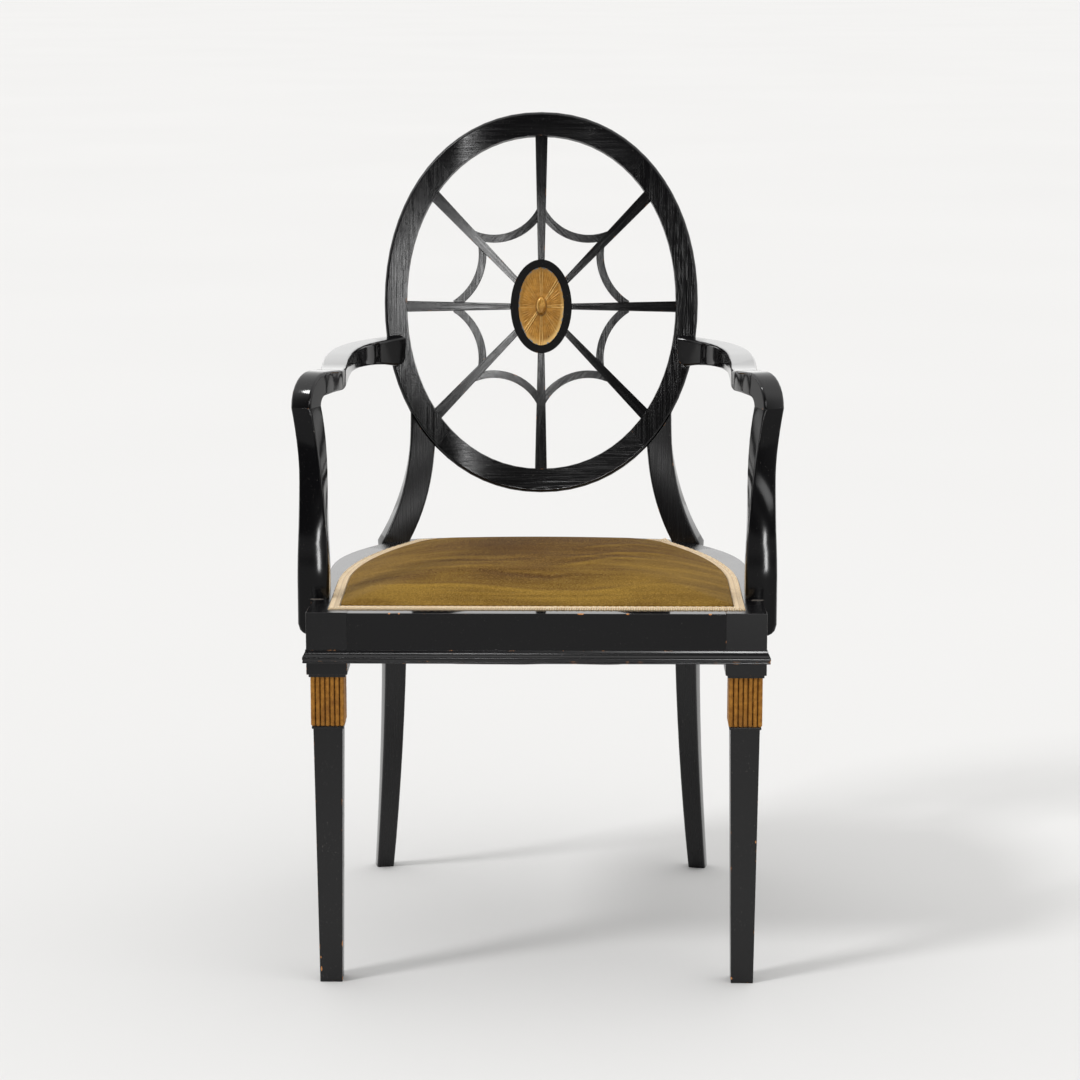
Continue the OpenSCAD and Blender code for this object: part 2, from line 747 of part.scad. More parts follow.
// Centre of the circle through two points, on the side away from the hub
function arc_centre(p, q, r) =
    let (m = (p + q) / 2)
    let (c = norm(q - p) / 2)
    m + m / norm(m) * sqrt(r * r - c * c);
function web_arc(p, q, r, w) =
    let (c = arc_centre(p, q, r))
    let (a = atan2(p[1] - c[1], p[0] - c[0]))
    let (b = atan2(q[1] - c[1], q[0] - c[0]))
    let (turn = (b - a + 540) % 360 - 180)
    [for (i = [0 : web_steps]) c + (r + w) * ray(a + turn * i / web_steps)];
module web_band(upright) {
    p = upright ? [0, web_upright] : [web_level, 0];
    q = (upright ? web_slant_upright : web_slant_level) * ray(spoke_angle);
    r = upright ? web_r_upright : web_r_level;
    wedge = [[0, 0], spoke_reach * ray(upright ? 90 : 0), spoke_reach * ray(spoke_angle)];
    intersection() {
        slab(concat(web_arc(p, q, r, web_w / 2), reversed(web_arc(p, q, r, -web_w / 2))), spoke_set, spoke_t);
        slab(wedge, 0, oval_t);
    }
}
module web(k) {
    upright = k == 1 || k == 2 || k == 5 || k == 6;
    left = k >= 2 && k <= 5 ? 1 : 0;
    low = k >= 4 ? 1 : 0;
    color("#1d1c1f") stand() in_back() difference() {
        translate([0, 0, hub_z]) mirror([left, 0, 0]) mirror([0, 0, low]) web_band(upright);
        spoke_bar(spoke_angles[k], 0, 0, oval_t);
        spoke_bar(spoke_angles[(k + 1) % 8], 0, 0, oval_t);
    }
}

// The hub is an oval cup that holds the carved gilt patera
patera_t = 8;
patera_set = 3;
patera_shares = [[1, 0, 0], [1, 0.72, 0], [0.96, 0.84, 1], [0.8, 0.9, 1], [0.3, 0.96, 0.5], [0.2, 0.9, 0]];
button_shares = [[1, 0], [1, 0.45], [0.8, 0.85], [0.45, 1]];
button_t = 3.4;
button_lift = 1;
ray_h = 0.9;
ray_count = 48;
// Eight broad rays among fine ones, carved across the patera
function ray_lift(a) = ray_h * (2 * pow(max(0, cos(8 * a)), 4) + cos(ray_count * a) + 1) / 4;
function flat_oval(w, h, y, lift, steps) =
    [for (i = [0 : steps - 1]) let (p = oval_point(360 * i / steps, w, h, 2)) [p[0], y, p[1] + hub_z + lift]];
function rayed_oval(w, h, y, part, steps) =
    [for (i = [0 : steps - 1]) let (a = 360 * i / steps) let (p = oval_point(a, w, h, 2))
        [p[0], y - part * ray_lift(a), p[1] + hub_z]];
module hub() {
    color("#17161a") stand() in_back() difference() {
        hub_slab(0, 0, hub_t);
        hub_slab(-hub_rim, -over, over + patera_set + patera_t);
        for (i = [0 : 7]) spoke_tongue(i, fit);
    }
}
module patera() {
    w = hub_w - 2 * hub_rim - 2 * fit;
    h = hub_h - 2 * hub_rim - 2 * fit;
    color("#b07d32") stand() in_back() loft([for (m = patera_shares)
        rayed_oval(w * m[0], h * m[0], patera_set + patera_t * (1 - m[1]), m[2], 2 * ray_count)]);
}
module patera_button() {
    color("#b07d32") stand() in_back() loft([for (m = button_shares)
        flat_oval(button_w * m[0], button_h * m[0], patera_set - button_t * m[1], button_lift, 24)]);
}

// Arms: how far along, how far out, heading in degrees, width, height and level of the top
arm_shares = [
    [0.032, 0, 15, 0.89, 1.56, 1.013],
    [0.054, 0.18, 30, 0.9, 1.41, 1.007],
    [0.075, 0.305, 39, 0.93, 1.28, 1.003],
    [0.106, 0.43, 48, 0.95, 1.2, 1],
    [0.15, 0.53, 58, 0.97, 1.16, 1],
    [0.202, 0.61, 66, 0.985, 1.12, 1],
    [0.27, 0.68, 74, 1, 1.06, 1],
    [0.339, 0.72, 80, 1, 1.03, 1],
    [0.41, 0.745, 85, 1, 1, 1],
    [0.489, 0.752, 89, 1, 1, 1],
    [0.57, 0.752, 90, 1, 0.98, 0.995],
    [0.646, 0.745, 91, 0.985, 0.97, 0.99],
    [0.71, 0.735, 91, 0.96, 0.97, 0.99],
    [0.757, 0.73, 87, 0.94, 1, 0.992],
    [0.8, 0.743, 79, 0.92, 1.02, 0.996],
    [0.84, 0.775, 70, 0.88, 1.05, 1.003],
    [0.875, 0.815, 66, 0.86, 1.09, 1.008]];
bend_shares = [0, 0.14, 0.28, 0.42, 0.56, 0.7, 0.85, 1];
head_heading = 65;
arm_soft = 3.5;
arm_back_in = 3;
arm_post_x = side_x(frame_shape, 0, arm_post_y) + arm_post_out - arm_post_w / 2;
arm_front_x = arm_post_x + arm_flare;
arm_front_y = arm_post_y + arm_set_back;
arm_back_x = oval_w / 2 - arm_lap;
arm_back_y = back_y + arm_rise * tan(rake) - arm_back_in;
arm_span_x = arm_front_x - arm_back_x;
arm_span_y = arm_back_y - arm_front_y;
arm_head_z = arm_z + arm_crest - arm_head_d / 2;
joint_z = arm_head_z - arm_bend_r;
function arm_ring(points, c, h, pitch) =
    let (f = [cos(h), -sin(h)])
    [for (p = points) [c[0] + p[0] * sin(h) + p[1] * f[0] * sin(pitch),
        c[1] + p[0] * cos(h) + p[1] * f[1] * sin(pitch), c[2] + p[1] * cos(pitch)]];
function arm_body_ring(m) =
    let (h = m[4] * arm_h)
    arm_ring(soft_box(m[3] * arm_w, h, arm_soft),
        [arm_back_x + m[1] * arm_span_x, arm_back_y - m[0] * arm_span_y,
            seat_h + arm_rise * m[5] - h / 2], m[2], 0);
function arm_bend_ring(t) =
    let (f = [cos(head_heading), -sin(head_heading)])
    let (b = 90 * t)
    arm_ring(soft_box(arm_head_w, arm_head_d, arm_soft),
        [arm_front_x - arm_bend_r * (1 - sin(b)) * f[0], arm_front_y - arm_bend_r * (1 - sin(b)) * f[1],
            arm_head_z - arm_bend_r * (1 - cos(b))], head_heading, b);

arm_screw_x = oval_w / 2 - band_side / 2;
arm_screw_l = 42;
arm_screw_drop = 16;
arm_screw_rise = arm_rise - arm_screw_drop;
plug_t = 5;
module arm_screw(slack) {
    translate([arm_screw_x, oval_t - plug_t, arm_screw_rise]) rotate([90, 0, 0]) screw(arm_screw_l, slack);
    translate([arm_screw_x, oval_t - plug_t, arm_screw_rise]) rotate([-90, 0, 0])
        cylinder(r = screw_head_r + slack, h = plug_t + over);
}
// Rounds the lower inner corner of an arm's end
module arm_end_corner() {
    corner_x = arm_back_x - arm_back_in;
    corner_z = (arm_rise * arm_shares[0][5] - arm_h * arm_shares[0][4]) / cos(rake);
    translate([corner_x + arm_end_r, 0, corner_z + arm_end_r]) rotate([90, 0, 0]) difference() {
        translate([-2 * arm_end_r, -2 * arm_end_r, -over]) cube([2 * arm_end_r, 2 * arm_end_r, arm_w + over]);
        translate([0, 0, -2 * over]) cylinder(r = arm_end_r, h = arm_w + 3 * over);
    }
}
module arm(s) {
    color("#17161a") stand() side(s) difference() {
        loft(concat([for (m = arm_shares) arm_body_ring(m)], [for (t = bend_shares) arm_bend_ring(t)]));
        in_back() translate([0, 0, -over]) cube([oval_w, oval_w, oval_h]);
        in_back() arm_end_corner();
        in_back() arm_screw(fit);
        arm_dowel(fit);
    }
}
module arm_screws() {
    color("#8a8a86") stand() in_back() both_sides() translate([arm_screw_x, oval_t - plug_t, arm_screw_rise])
        rotate([90, 0, 0]) slotted_screw(arm_screw_l);
}
module arm_screw_plugs() {
    color("#17161a") stand() in_back() both_sides()
        translate([arm_screw_x, oval_t - plug_t, arm_screw_rise]) rotate([-90, 0, 0])
            cylinder(r = screw_head_r, h = plug_t);
}
arm_dowel_l = 34;
module arm_dowel(slack) {
    translate([arm_front_x, arm_front_y, joint_z - arm_dowel_l / 2 - slack])
        cylinder(r = dowel_r + slack, h = arm_dowel_l + 2 * slack);
}
module arm_dowels() {
    color("#c9a46c") stand() both_sides() arm_dowel(0);
}

// Arm posts, lapped over the outside of the side rails
lap_z = rail_z + moulding_h + lap_gap;
lap_r = 13;
lap_shares = [0, 0.06, 0.2, 0.45, 1];
arm_post_steps = 20;
// Where each change starts and ends, as shares of the post's height above the rail
width_shares = [0.07, 0.79];
depth_shares = [0, 0.97];
flare_shares = [0.63, 1];
set_back_shares = [0.27, 1];
turn_shares = [0.32, 1];
flare_power = 1.8;
function post_share(z, ends) = clamp(((z - seat_h) / (joint_z - seat_h) - ends[0]) / (ends[1] - ends[0]));
function arm_post_ring(z) =
    let (w = arm_post_w + (arm_head_w - arm_post_w) * ease(post_share(z, width_shares)))
    let (d = arm_post_d + (arm_head_d - arm_post_d) * ease(post_share(z, depth_shares)))
    let (x = arm_post_x + arm_flare * pow(post_share(z, flare_shares), flare_power))
    let (y = arm_post_y + arm_set_back * ease(post_share(z, set_back_shares)))
    let (under = max(0, lap_z + lap_r - z))
    let (cut = lap_r - sqrt(lap_r * lap_r - under * under))
    turned(soft_box(w - cut, d, arm_soft), (90 - head_heading) * ease(post_share(z, turn_shares)),
        x - cut / 2, y, z);
post_levels = concat([for (t = lap_shares) lap_z + lap_r * t],
    [for (i = [1 : arm_post_steps]) lap_z + lap_r + (joint_z - lap_z - lap_r) * i / arm_post_steps]);
module arm_post(s) {
    color("#17161a") stand() side(s) difference() {
        loft([for (z = post_levels) arm_post_ring(z)]);
        prism(whole(frame_shape, 0, 0), rail_z, rail_h);
        at_post_screws() screw(post_screw_l, fit);
        arm_dowel(fit);
    }
}
module arm_post_screws() {
    color("#8a8a86") stand() both_sides() at_post_screws() slotted_screw(post_screw_l);
}

// Upholstery: webbing, hessian, stuffing, velvet cover, braid and the canvas underneath
webbing_in = 8;
hessian_in = 7;
pad_outline = whole(pad_shape, 0, 0);
pad_depth = pad_outline[(len(pad_outline) - 1) / 2][1] - border_front;
pad_middle = [0, border_front + pad_depth / 2];
module webbing(across) {
    pitch = (across ? pad_depth : pad_w) / (webbing_count + 1);
    z = rebate_z + (across ? webbing_t : 0);
    intersection() {
        prism(whole(pad_shape, webbing_in, webbing_in), z, webbing_t);
        for (i = [0 : webbing_count - 1]) {
            place = (i - (webbing_count - 1) / 2) * pitch;
            if (across) translate([-pad_w, pad_middle[1] + place - webbing_w / 2, z - over])
                cube([2 * pad_w, webbing_w, webbing_t + 2 * over]);
            else translate([place - webbing_w / 2, 0, z - over])
                cube([webbing_w, 2 * pad_w, webbing_t + 2 * over]);
        }
    }
}
module webbing_lengthwise() {
    color("#b59a6a") stand() webbing(false);
}
module webbing_crosswise() {
    color("#b59a6a") stand() webbing(true);
}
module hessian() {
    color("#a98e5f") stand() prism(whole(pad_shape, hessian_in, hessian_in), hessian_z, hessian_t);
}

// The crown rises from the braid's inner edge, full at the sides and flat on top
crown_power = 3.2;
dome = whole(pad_shape, gimp_w + touch, gimp_w + touch);
flange_in = 1;
flange = whole(pad_shape, flange_in, flange_in);
function crown_z(k) = flange_z + cover_t + (seat_h + crown - flange_z - cover_t) * (1 - pow(k, crown_power));
function dome_ring(k, z) = [for (p = dome) [pad_middle[0] + k * (p[0] - pad_middle[0]),
    pad_middle[1] + k * (p[1] - pad_middle[1]), z]];
dome_shares = [0.12, 0.3, 0.48, 0.64, 0.77, 0.87, 0.94, 0.98];
module seat_cover() {
    color("#7a6426") stand() loft(concat(
        [for (k = dome_shares) dome_ring(k, crown_z(k) - cover_t)],
        [dome_ring(1, flange_z), [for (p = flange) [p[0], p[1], flange_z]],
            [for (p = flange) [p[0], p[1], flange_z + cover_t]], dome_ring(1, flange_z + cover_t)],
        [for (k = reversed(dome_shares)) dome_ring(k, crown_z(k))]));
}
module stuffing() {
    color("#8b7350") stand() loft(concat([dome_ring(0.98, pad_z)],
        [for (k = reversed(dome_shares)) dome_ring(k, crown_z(k) - cover_t - touch)]));
}
gimp_h = 3.4;
gimp_shares = [
    [1, 0], [1, 0.62], [0.91, 1], [0.8, 0.66], [0.5, 0.8], [0.2, 0.66], [0.09, 1], [0, 0.62], [0, 0]];
module gimp() {
    edges = [for (m = gimp_shares)
        [for (p = whole(pad_shape, m[0] * gimp_w, m[0] * gimp_w)) [p[0], p[1], gimp_z + m[1] * gimp_h]]];
    color("#c9aa74") stand() loop([for (i = [0 : len(edges[0]) - 1]) [for (e = edges) e[i]]]);
}

// The canvas is tacked under the rails and hangs in a shallow belly
canvas_t = 0.9;
canvas_lap = 12;
canvas_in = rail_t - canvas_lap;
canvas_edge = whole(frame_shape, canvas_in, canvas_in);
canvas_middle = [0, pad_middle[1]];
canvas_shares = [0.15, 0.35, 0.55, 0.75, 0.9];
function canvas_ring(k, z) = [for (p = canvas_edge) [canvas_middle[0] + k * (p[0] - canvas_middle[0]),
    canvas_middle[1] + k * (p[1] - canvas_middle[1]), z]];
function canvas_z(k) = rail_z - canvas_t - canvas_sag * pow(1 - k * k / 0.81, 1.3);
module bottom_canvas() {
    color("#4a463a") stand() difference() {
        loft(concat([for (k = canvas_shares) canvas_ring(k, canvas_z(k))],
            [canvas_ring(1, rail_z - canvas_t), canvas_ring(1, rail_z)],
            [for (k = reversed(canvas_shares)) canvas_ring(k, canvas_z(k) + canvas_t)]));
        both_sides() translate([seat_w / 2 - leg_w - touch, -over, rail_z - leg_drop])
            cube([leg_w, leg_w + touch + over, leg_drop + over]);
    }
}

front_rail();
side_rail(-1);  // left_side_rail
side_rail(1);  // right_side_rail
back_rail();
front_moulding();
side_moulding(-1);  // left_moulding
side_moulding(1);  // right_moulding
front_leg(-1);  // front_left_leg
front_leg(1);  // front_right_leg
reeding(-1);  // left_reeding
reeding(1);  // right_reeding
rear_leg(-1);  // rear_left_leg
rear_leg(1);  // rear_right_leg
oval_segment(oval_joint, 180 - oval_joint, [2]);  // oval_top
oval_segment(-oval_joint, oval_joint, [7, 0, 1]);  // oval_right
oval_segment(180 + oval_joint, 360 - oval_joint, [6]);  // oval_bottom
oval_segment(180 - oval_joint, 180 + oval_joint, [3, 4, 5]);  // oval_left
spoke(0);  // spoke_right
spoke(1);  // spoke_upper_right
spoke(2);  // spoke_top
spoke(3);  // spoke_upper_left
spoke(4);  // spoke_left
spoke(5);  // spoke_lower_left
spoke(6);  // spoke_bottom
spoke(7);  // spoke_lower_right
web(0);  // web_right_upper
web(1);  // web_top_right
web(2);  // web_top_left
web(3);  // web_left_upper
web(4);  // web_left_lower
web(5);  // web_bottom_left
web(6);  // web_bottom_right
web(7);  // web_right_lower
hub();
patera();
patera_button();
arm(-1);  // left_arm
arm(1);  // right_arm
arm_post(-1);  // left_arm_post
arm_post(1);  // right_arm_post
front_corner_block(-1);  // front_left_block
front_corner_block(1);  // front_right_block
rear_corner_block(-1);  // rear_left_block
rear_corner_block(1);  // rear_right_block
corner_block_screws();
arm_screws();
arm_screw_plugs();
arm_post_screws();
arm_dowels();
oval_dowels();
post_dowels();
webbing_lengthwise();
webbing_crosswise();
hessian();
stuffing();
seat_cover();
gimp();
bottom_canvas();
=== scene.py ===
from math import atan2, cos, degrees, exp, hypot, pi, radians, sin

import bpy
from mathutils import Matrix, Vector, noise


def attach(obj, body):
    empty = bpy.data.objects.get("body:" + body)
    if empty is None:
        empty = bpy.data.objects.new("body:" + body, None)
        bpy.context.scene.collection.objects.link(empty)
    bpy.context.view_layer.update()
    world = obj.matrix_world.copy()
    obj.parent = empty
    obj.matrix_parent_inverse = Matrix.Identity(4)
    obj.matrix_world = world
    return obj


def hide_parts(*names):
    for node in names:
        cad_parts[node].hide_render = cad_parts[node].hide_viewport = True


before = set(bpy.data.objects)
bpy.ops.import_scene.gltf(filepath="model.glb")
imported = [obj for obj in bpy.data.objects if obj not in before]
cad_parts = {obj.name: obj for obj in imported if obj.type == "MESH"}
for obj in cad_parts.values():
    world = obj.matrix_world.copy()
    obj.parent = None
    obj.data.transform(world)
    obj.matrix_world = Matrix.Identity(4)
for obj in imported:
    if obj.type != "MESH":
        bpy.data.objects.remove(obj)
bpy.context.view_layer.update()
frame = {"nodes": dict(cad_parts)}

nodes = frame["nodes"]

# ------------------------ sizes shared with the part, in metres
SEAT_H = 0.439
RAIL_H = 0.058
MIDDLE_Y = 0.267757
RAKE = radians(8.8)
BACK_Y = 0.165933
GIMP_W = 0.0125
GIMP_H = 0.0034
REBATE_Z = SEAT_H - 0.006
FLANGE_Z = REBATE_Z + 0.00335
CROWN_Z = SEAT_H + 0.025
# half width, front, splay, straight run, side radius and turn, run to the corner, corner radius, back turn
FRAME_SHAPE = (0.2605, 0.0, 2.2, 0.270, 0.235, 42, 0.018, 0.040, 77.5)
PAD_SHAPE = (0.2365, 0.018, 0.0, 0.153, 0.450, 30, 0.032, 0.025, 81)


# ------------------------ handling pieces
SAME_POINT = 0.00002
FLAT_TURN = 0.3


def pick(piece):
    bpy.ops.object.select_all(action="DESELECT")
    piece.select_set(True)
    bpy.context.view_layer.objects.active = piece


def edit(piece, mode="VERT", picked="SELECT"):
    pick(piece)
    bpy.ops.object.mode_set(mode="EDIT")
    bpy.ops.mesh.select_mode(type=mode)
    bpy.ops.mesh.select_all(action=picked)


def leave():
    bpy.ops.object.mode_set(mode="OBJECT")


def face_one_way(piece):
    edit(piece, "FACE")
    bpy.ops.mesh.normals_make_consistent(inside=False)
    leave()


def mark(piece, name, values):
    """Gives each point of a mesh a number that its finish reads."""
    piece.data.attributes.new(name, "FLOAT", "POINT").data.foreach_set("value", values)


def within(value, low=0.0, high=1.0):
    return max(low, min(high, value))


def apply(piece, kind, **settings):
    """Adds a modifier, sets it and applies it."""
    pick(piece)
    modifier = piece.modifiers.new(kind.lower(), kind)
    for key, value in settings.items():
        setattr(modifier, key, value)
    bpy.ops.object.modifier_apply(modifier=modifier.name)


def smooth(piece, angle=50, flats=False):
    """Shades curves smooth. With flats, broad faces keep their own light and only the eased arrises turn."""
    pick(piece)
    bpy.ops.object.shade_smooth_by_angle(angle=radians(angle))
    if flats:
        apply(piece, "WEIGHTED_NORMAL", mode="FACE_AREA", weight=60, keep_sharp=True)


def fit_to_chair(piece, name, finish, stands_for):
    piece.name = piece.data.name = name
    piece.data.materials.clear()
    piece.data.materials.append(finish)
    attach(piece, "root")
    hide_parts(*stands_for)


def softened(node, arris, angle=50, reshape=None):
    """A copy of a solid with its sharp edges eased and its curves shaded smooth, after a change of shape if given."""
    piece = bpy.data.objects.new(node + "_eased", nodes[node].data.copy())
    bpy.context.scene.collection.objects.link(piece)
    pick(piece)
    if piece.data.has_custom_normals:
        bpy.ops.mesh.customdata_custom_splitnormals_clear()
    edit(piece)
    bpy.ops.mesh.remove_doubles(threshold=SAME_POINT)
    bpy.ops.mesh.dissolve_limited(angle_limit=radians(FLAT_TURN))
    leave()
    if reshape:
        reshape(piece)
    if arris:
        apply(piece, "BEVEL", width=arris, segments=2, limit_method="ANGLE",
              angle_limit=radians(angle), use_clamp_overlap=True, harden_normals=False)
    smooth(piece, angle - 5, flats=True)
    return piece


# ------------------------ outlines of the seat
def ray(a):
    return Vector((cos(radians(a)), sin(radians(a))))


def heading(a):
    return Vector((-sin(radians(a)), cos(radians(a))))


def right_edge(shape, inset, front, side_steps=24, corner_steps=12, back_steps=20):
    """Right half of an outline, from its front corner to the middle of its back."""
    half_w, front_y, splay, straight, side_r, side_turn, run, corner_r, back_turn = shape
    flank = Vector((half_w, front_y)) + straight * heading(splay)
    flank_c = flank - side_r * ray(splay)
    corner = flank_c + side_r * ray(side_turn) + run * heading(side_turn)
    corner_c = corner - corner_r * ray(side_turn)
    back = corner_c + corner_r * ray(back_turn)
    back_r = back.x / cos(radians(back_turn))
    back_c = Vector((0, back.y - back_r * sin(radians(back_turn))))
    points = [Vector((half_w - (inset + front * sin(radians(splay))) / cos(radians(splay)), front_y + front))]
    for i in range(side_steps + 1):
        points.append(flank_c + (side_r - inset) * ray(splay + (side_turn - splay) * i / side_steps))
    for i in range(corner_steps + 1):
        points.append(corner_c + (corner_r - inset) * ray(side_turn + (back_turn - side_turn) * i / corner_steps))
    for i in range(1, back_steps + 1):
        points.append(back_c + (back_r - inset) * ray(back_turn + (90 - back_turn) * i / back_steps))
    return [Vector((p.x, p.y - MIDDLE_Y)) for p in points]


def outline(shape, inset):
    """The whole outline, from the front right corner round the back to the front left corner."""
    right = right_edge(shape, inset, inset)
    return right + [Vector((-p.x, p.y)) for p in reversed(right[:-1])]


def divided(rows, step):
    """Rows of points with more rows between them, none further apart than the step."""
    found = []
    for a, b in zip(rows, rows[1:]):
        n = max(1, round(max((q - p).length for p, q in zip(a, b)) / step))
        found += [[p.lerp(q, i / n) for p, q in zip(a, b)] for i in range(n)]
    return found + [rows[-1]]


# ------------------------ building finishes
class Wire:
    """One output of a node. Sums on it add the Math nodes that they need."""

    def __init__(self, nodes, socket):
        self.nodes = nodes
        self.socket = socket

    def math(self, operation, *values, **settings):
        inputs = dict(enumerate(values))
        return self.nodes.add("ShaderNodeMath", {"operation": operation, **settings}, inputs)

    def __add__(self, other):
        return self.math("ADD", self, other)

    def __radd__(self, other):
        return self.math("ADD", other, self)

    def __sub__(self, other):
        return self.math("SUBTRACT", self, other)

    def __rsub__(self, other):
        return self.math("SUBTRACT", other, self)

    def __mul__(self, other):
        return self.math("MULTIPLY", self, other)

    def __rmul__(self, other):
        return self.math("MULTIPLY", other, self)

    def __truediv__(self, other):
        return self.math("DIVIDE", self, other)

    def sine(self):
        return self.math("SINE", self)

    def size(self):
        return self.math("ABSOLUTE", self)

    def swell(self):
        """One below nought, falling off above it as a bell does."""
        above = self.math("MAXIMUM", self, 0.0)
        return self.math("EXPONENT", above * above * -1.0)

    def held(self):
        """Kept between nought and one."""
        return self.math("ADD", self, 0.0, use_clamp=True)

    def rise(self, low, high):
        """Nought under low, one over high, with a soft step between them."""
        return self.nodes.add("ShaderNodeMapRange", {"interpolation_type": "SMOOTHSTEP"},
                              {"Value": self, "From Min": low, "From Max": high})


class Nodes:
    """A node tree being made: nodes are added one at a time."""

    def __init__(self, owner):
        owner.use_nodes = True
        self.tree = owner.node_tree
        self.tree.nodes.clear()

    def add(self, kind, settings=None, inputs=None, output=0):
        node = self.tree.nodes.new(kind)
        for key, value in (settings or {}).items():
            setattr(node, key, value)
        for key, value in (inputs or {}).items():
            if isinstance(value, Wire):
                self.tree.links.new(value.socket, node.inputs[key])
            else:
                node.inputs[key].default_value = value
        return Wire(self, node.outputs[output]) if node.outputs else None

    def parts(self, where):
        """The three coordinates of a place, as numbers."""
        node = self.add("ShaderNodeSeparateXYZ", {}, {0: where}).socket.node
        return [Wire(self, node.outputs[i]) for i in range(3)]


class Finish(Nodes):
    """A material, and what its finishes have in common."""

    def __init__(self, name):
        self.material = bpy.data.materials.new(name)
        super().__init__(self.material)
        self.place = self.add("ShaderNodeTexCoord", output="Object")

    def marked(self, name):
        """The number that each point of the mesh was given under a name."""
        return self.add("ShaderNodeAttribute", {"attribute_name": name}, output="Fac")

    def laid(self, lengths, turn=(0, 0, 0)):
        """Object coordinates turned to a direction and measured in the given lengths."""
        return self.add("ShaderNodeMapping", {"vector_type": "TEXTURE"},
                        {"Vector": self.place, "Rotation": turn, "Scale": lengths})

    def cloud(self, where, detail=3.0, rough=0.5, scale=1.0, warp=0.0):
        return self.add("ShaderNodeTexNoise", {},
                        {"Vector": where, "Scale": scale, "Detail": detail, "Roughness": rough, "Distortion": warp})

    def tint(self, share, first, second):
        """Two colours mixed by a share."""
        return self.add("ShaderNodeMix", {"data_type": "RGBA"},
                        {0: share, 6: colour(first), 7: colour(second)}, output=2)

    def relief(self, height, depth, normal=None):
        inputs = {"Height": height, "Distance": depth, "Strength": 1.0}
        if normal:
            inputs["Normal"] = normal
        return self.add("ShaderNodeBump", {}, inputs)

    def edges(self, width):
        """Where the wood turns a corner, from nought on the flat to one on the arris."""
        rounded = self.add("ShaderNodeBevel", {"samples": 4}, {"Radius": width})
        true = self.add("ShaderNodeNewGeometry", output="Normal")
        along = self.add("ShaderNodeVectorMath", {"operation": "DOT_PRODUCT"}, {0: rounded, 1: true}, output="Value")
        return 1.0 - along

    def done(self, **sockets):
        """Puts the values on one shader and returns the material."""
        inputs = {key.replace("_", " "): colour(v) if isinstance(v, tuple) else v for key, v in sockets.items()}
        self.add("ShaderNodeOutputMaterial", {}, {"Surface": self.add("ShaderNodeBsdfPrincipled", {}, inputs)})
        return self.material


def colour(value):
    """A colour given as three numbers, with its fourth; a wire passes through."""
    if isinstance(value, tuple) and len(value) == 3:
        return (*value, 1.0)
    return value


def paint(red, green, blue):
    """A colour as seen, from nought to 255, as the light that it sends back."""
    seen = (red / 255, green / 255, blue / 255)
    return tuple(v / 12.92 if v <= 0.04045 else ((v + 0.055) / 1.055) ** 2.4 for v in seen)


# ------------------------ finishes of this chair
LEVEL = (0, 0, 0)
UPRIGHT = (0, radians(90), 0)
DEEP = (0, 0, radians(90))
BLACK, WARM_BLACK = (0.0028, 0.0027, 0.0034), (0.0055, 0.0052, 0.0056)
RUBBED = (0.022, 0.019, 0.018)
DUST = (0.30, 0.28, 0.26)
CHIP = paint(204, 136, 74)
# Pale colour of the painted highlight at the foot of each arm post
PAINTED_SEAM_HIGHLIGHT = paint(168, 160, 152)
STROKE_DEPTH, WAVE_DEPTH, WEAVE_DEPTH = 0.00009, 0.00026, 0.0005
ARRIS_REACH = 0.0016
# The arm posts' faces are a little crowned across, and swell where the eye meets them
POST_X, POST_HALF, POST_CROWN, POST_FADE = 0.2625, 0.0183, 0.0019, (0.50, 0.62)
POST_SWELL_Z, POST_SWELL_REACH, POST_SWELL = 0.462, 0.030, 0.0030
# The oval's top and bottom are a little dished towards the left
OVAL_Z, OVAL_REACH, OVAL_DISH = 0.735, 0.14, 0.0029
OVAL_START, OVAL_FADE = (-0.150, -0.095), (-0.105, 0.060)
# Bites out of the lacquer, and painted highlights: the middle of each and how far it reaches along x, y and z. The
# first pair, at the arm posts' feet, is a painted highlight along the seam where each post stands on the rail; the
# rest are bites
POST_SEAM_HIGHLIGHTS = [((side * 0.2530, -0.1958, 0.4394), (0.0092, 0.0035, 0.0005)) for side in (-1, 1)]
RAIL_BITES = [((x, -0.2672, SEAT_H - 0.0008), (long, 0.0016, 0.0013)) for x, long in
              ((-0.166, 0.0018), (-0.155, 0.0014), (0.050, 0.0048), (0.103, 0.0020), (0.196, 0.0020))]
LEG_BITES = [((x, -0.256, z), (wide, 0.006, high)) for x, z, wide, high in
             ((-0.2235, 0.046, 0.0013, 0.0042), (-0.2235, 0.004, 0.0014, 0.0030), (-0.2485, 0.016, 0.0012, 0.0040),
              (-0.2490, 0.030, 0.0008, 0.0020), (0.2510, 0.170, 0.0009, 0.0022), (0.2250, 0.006, 0.0012, 0.0016))]


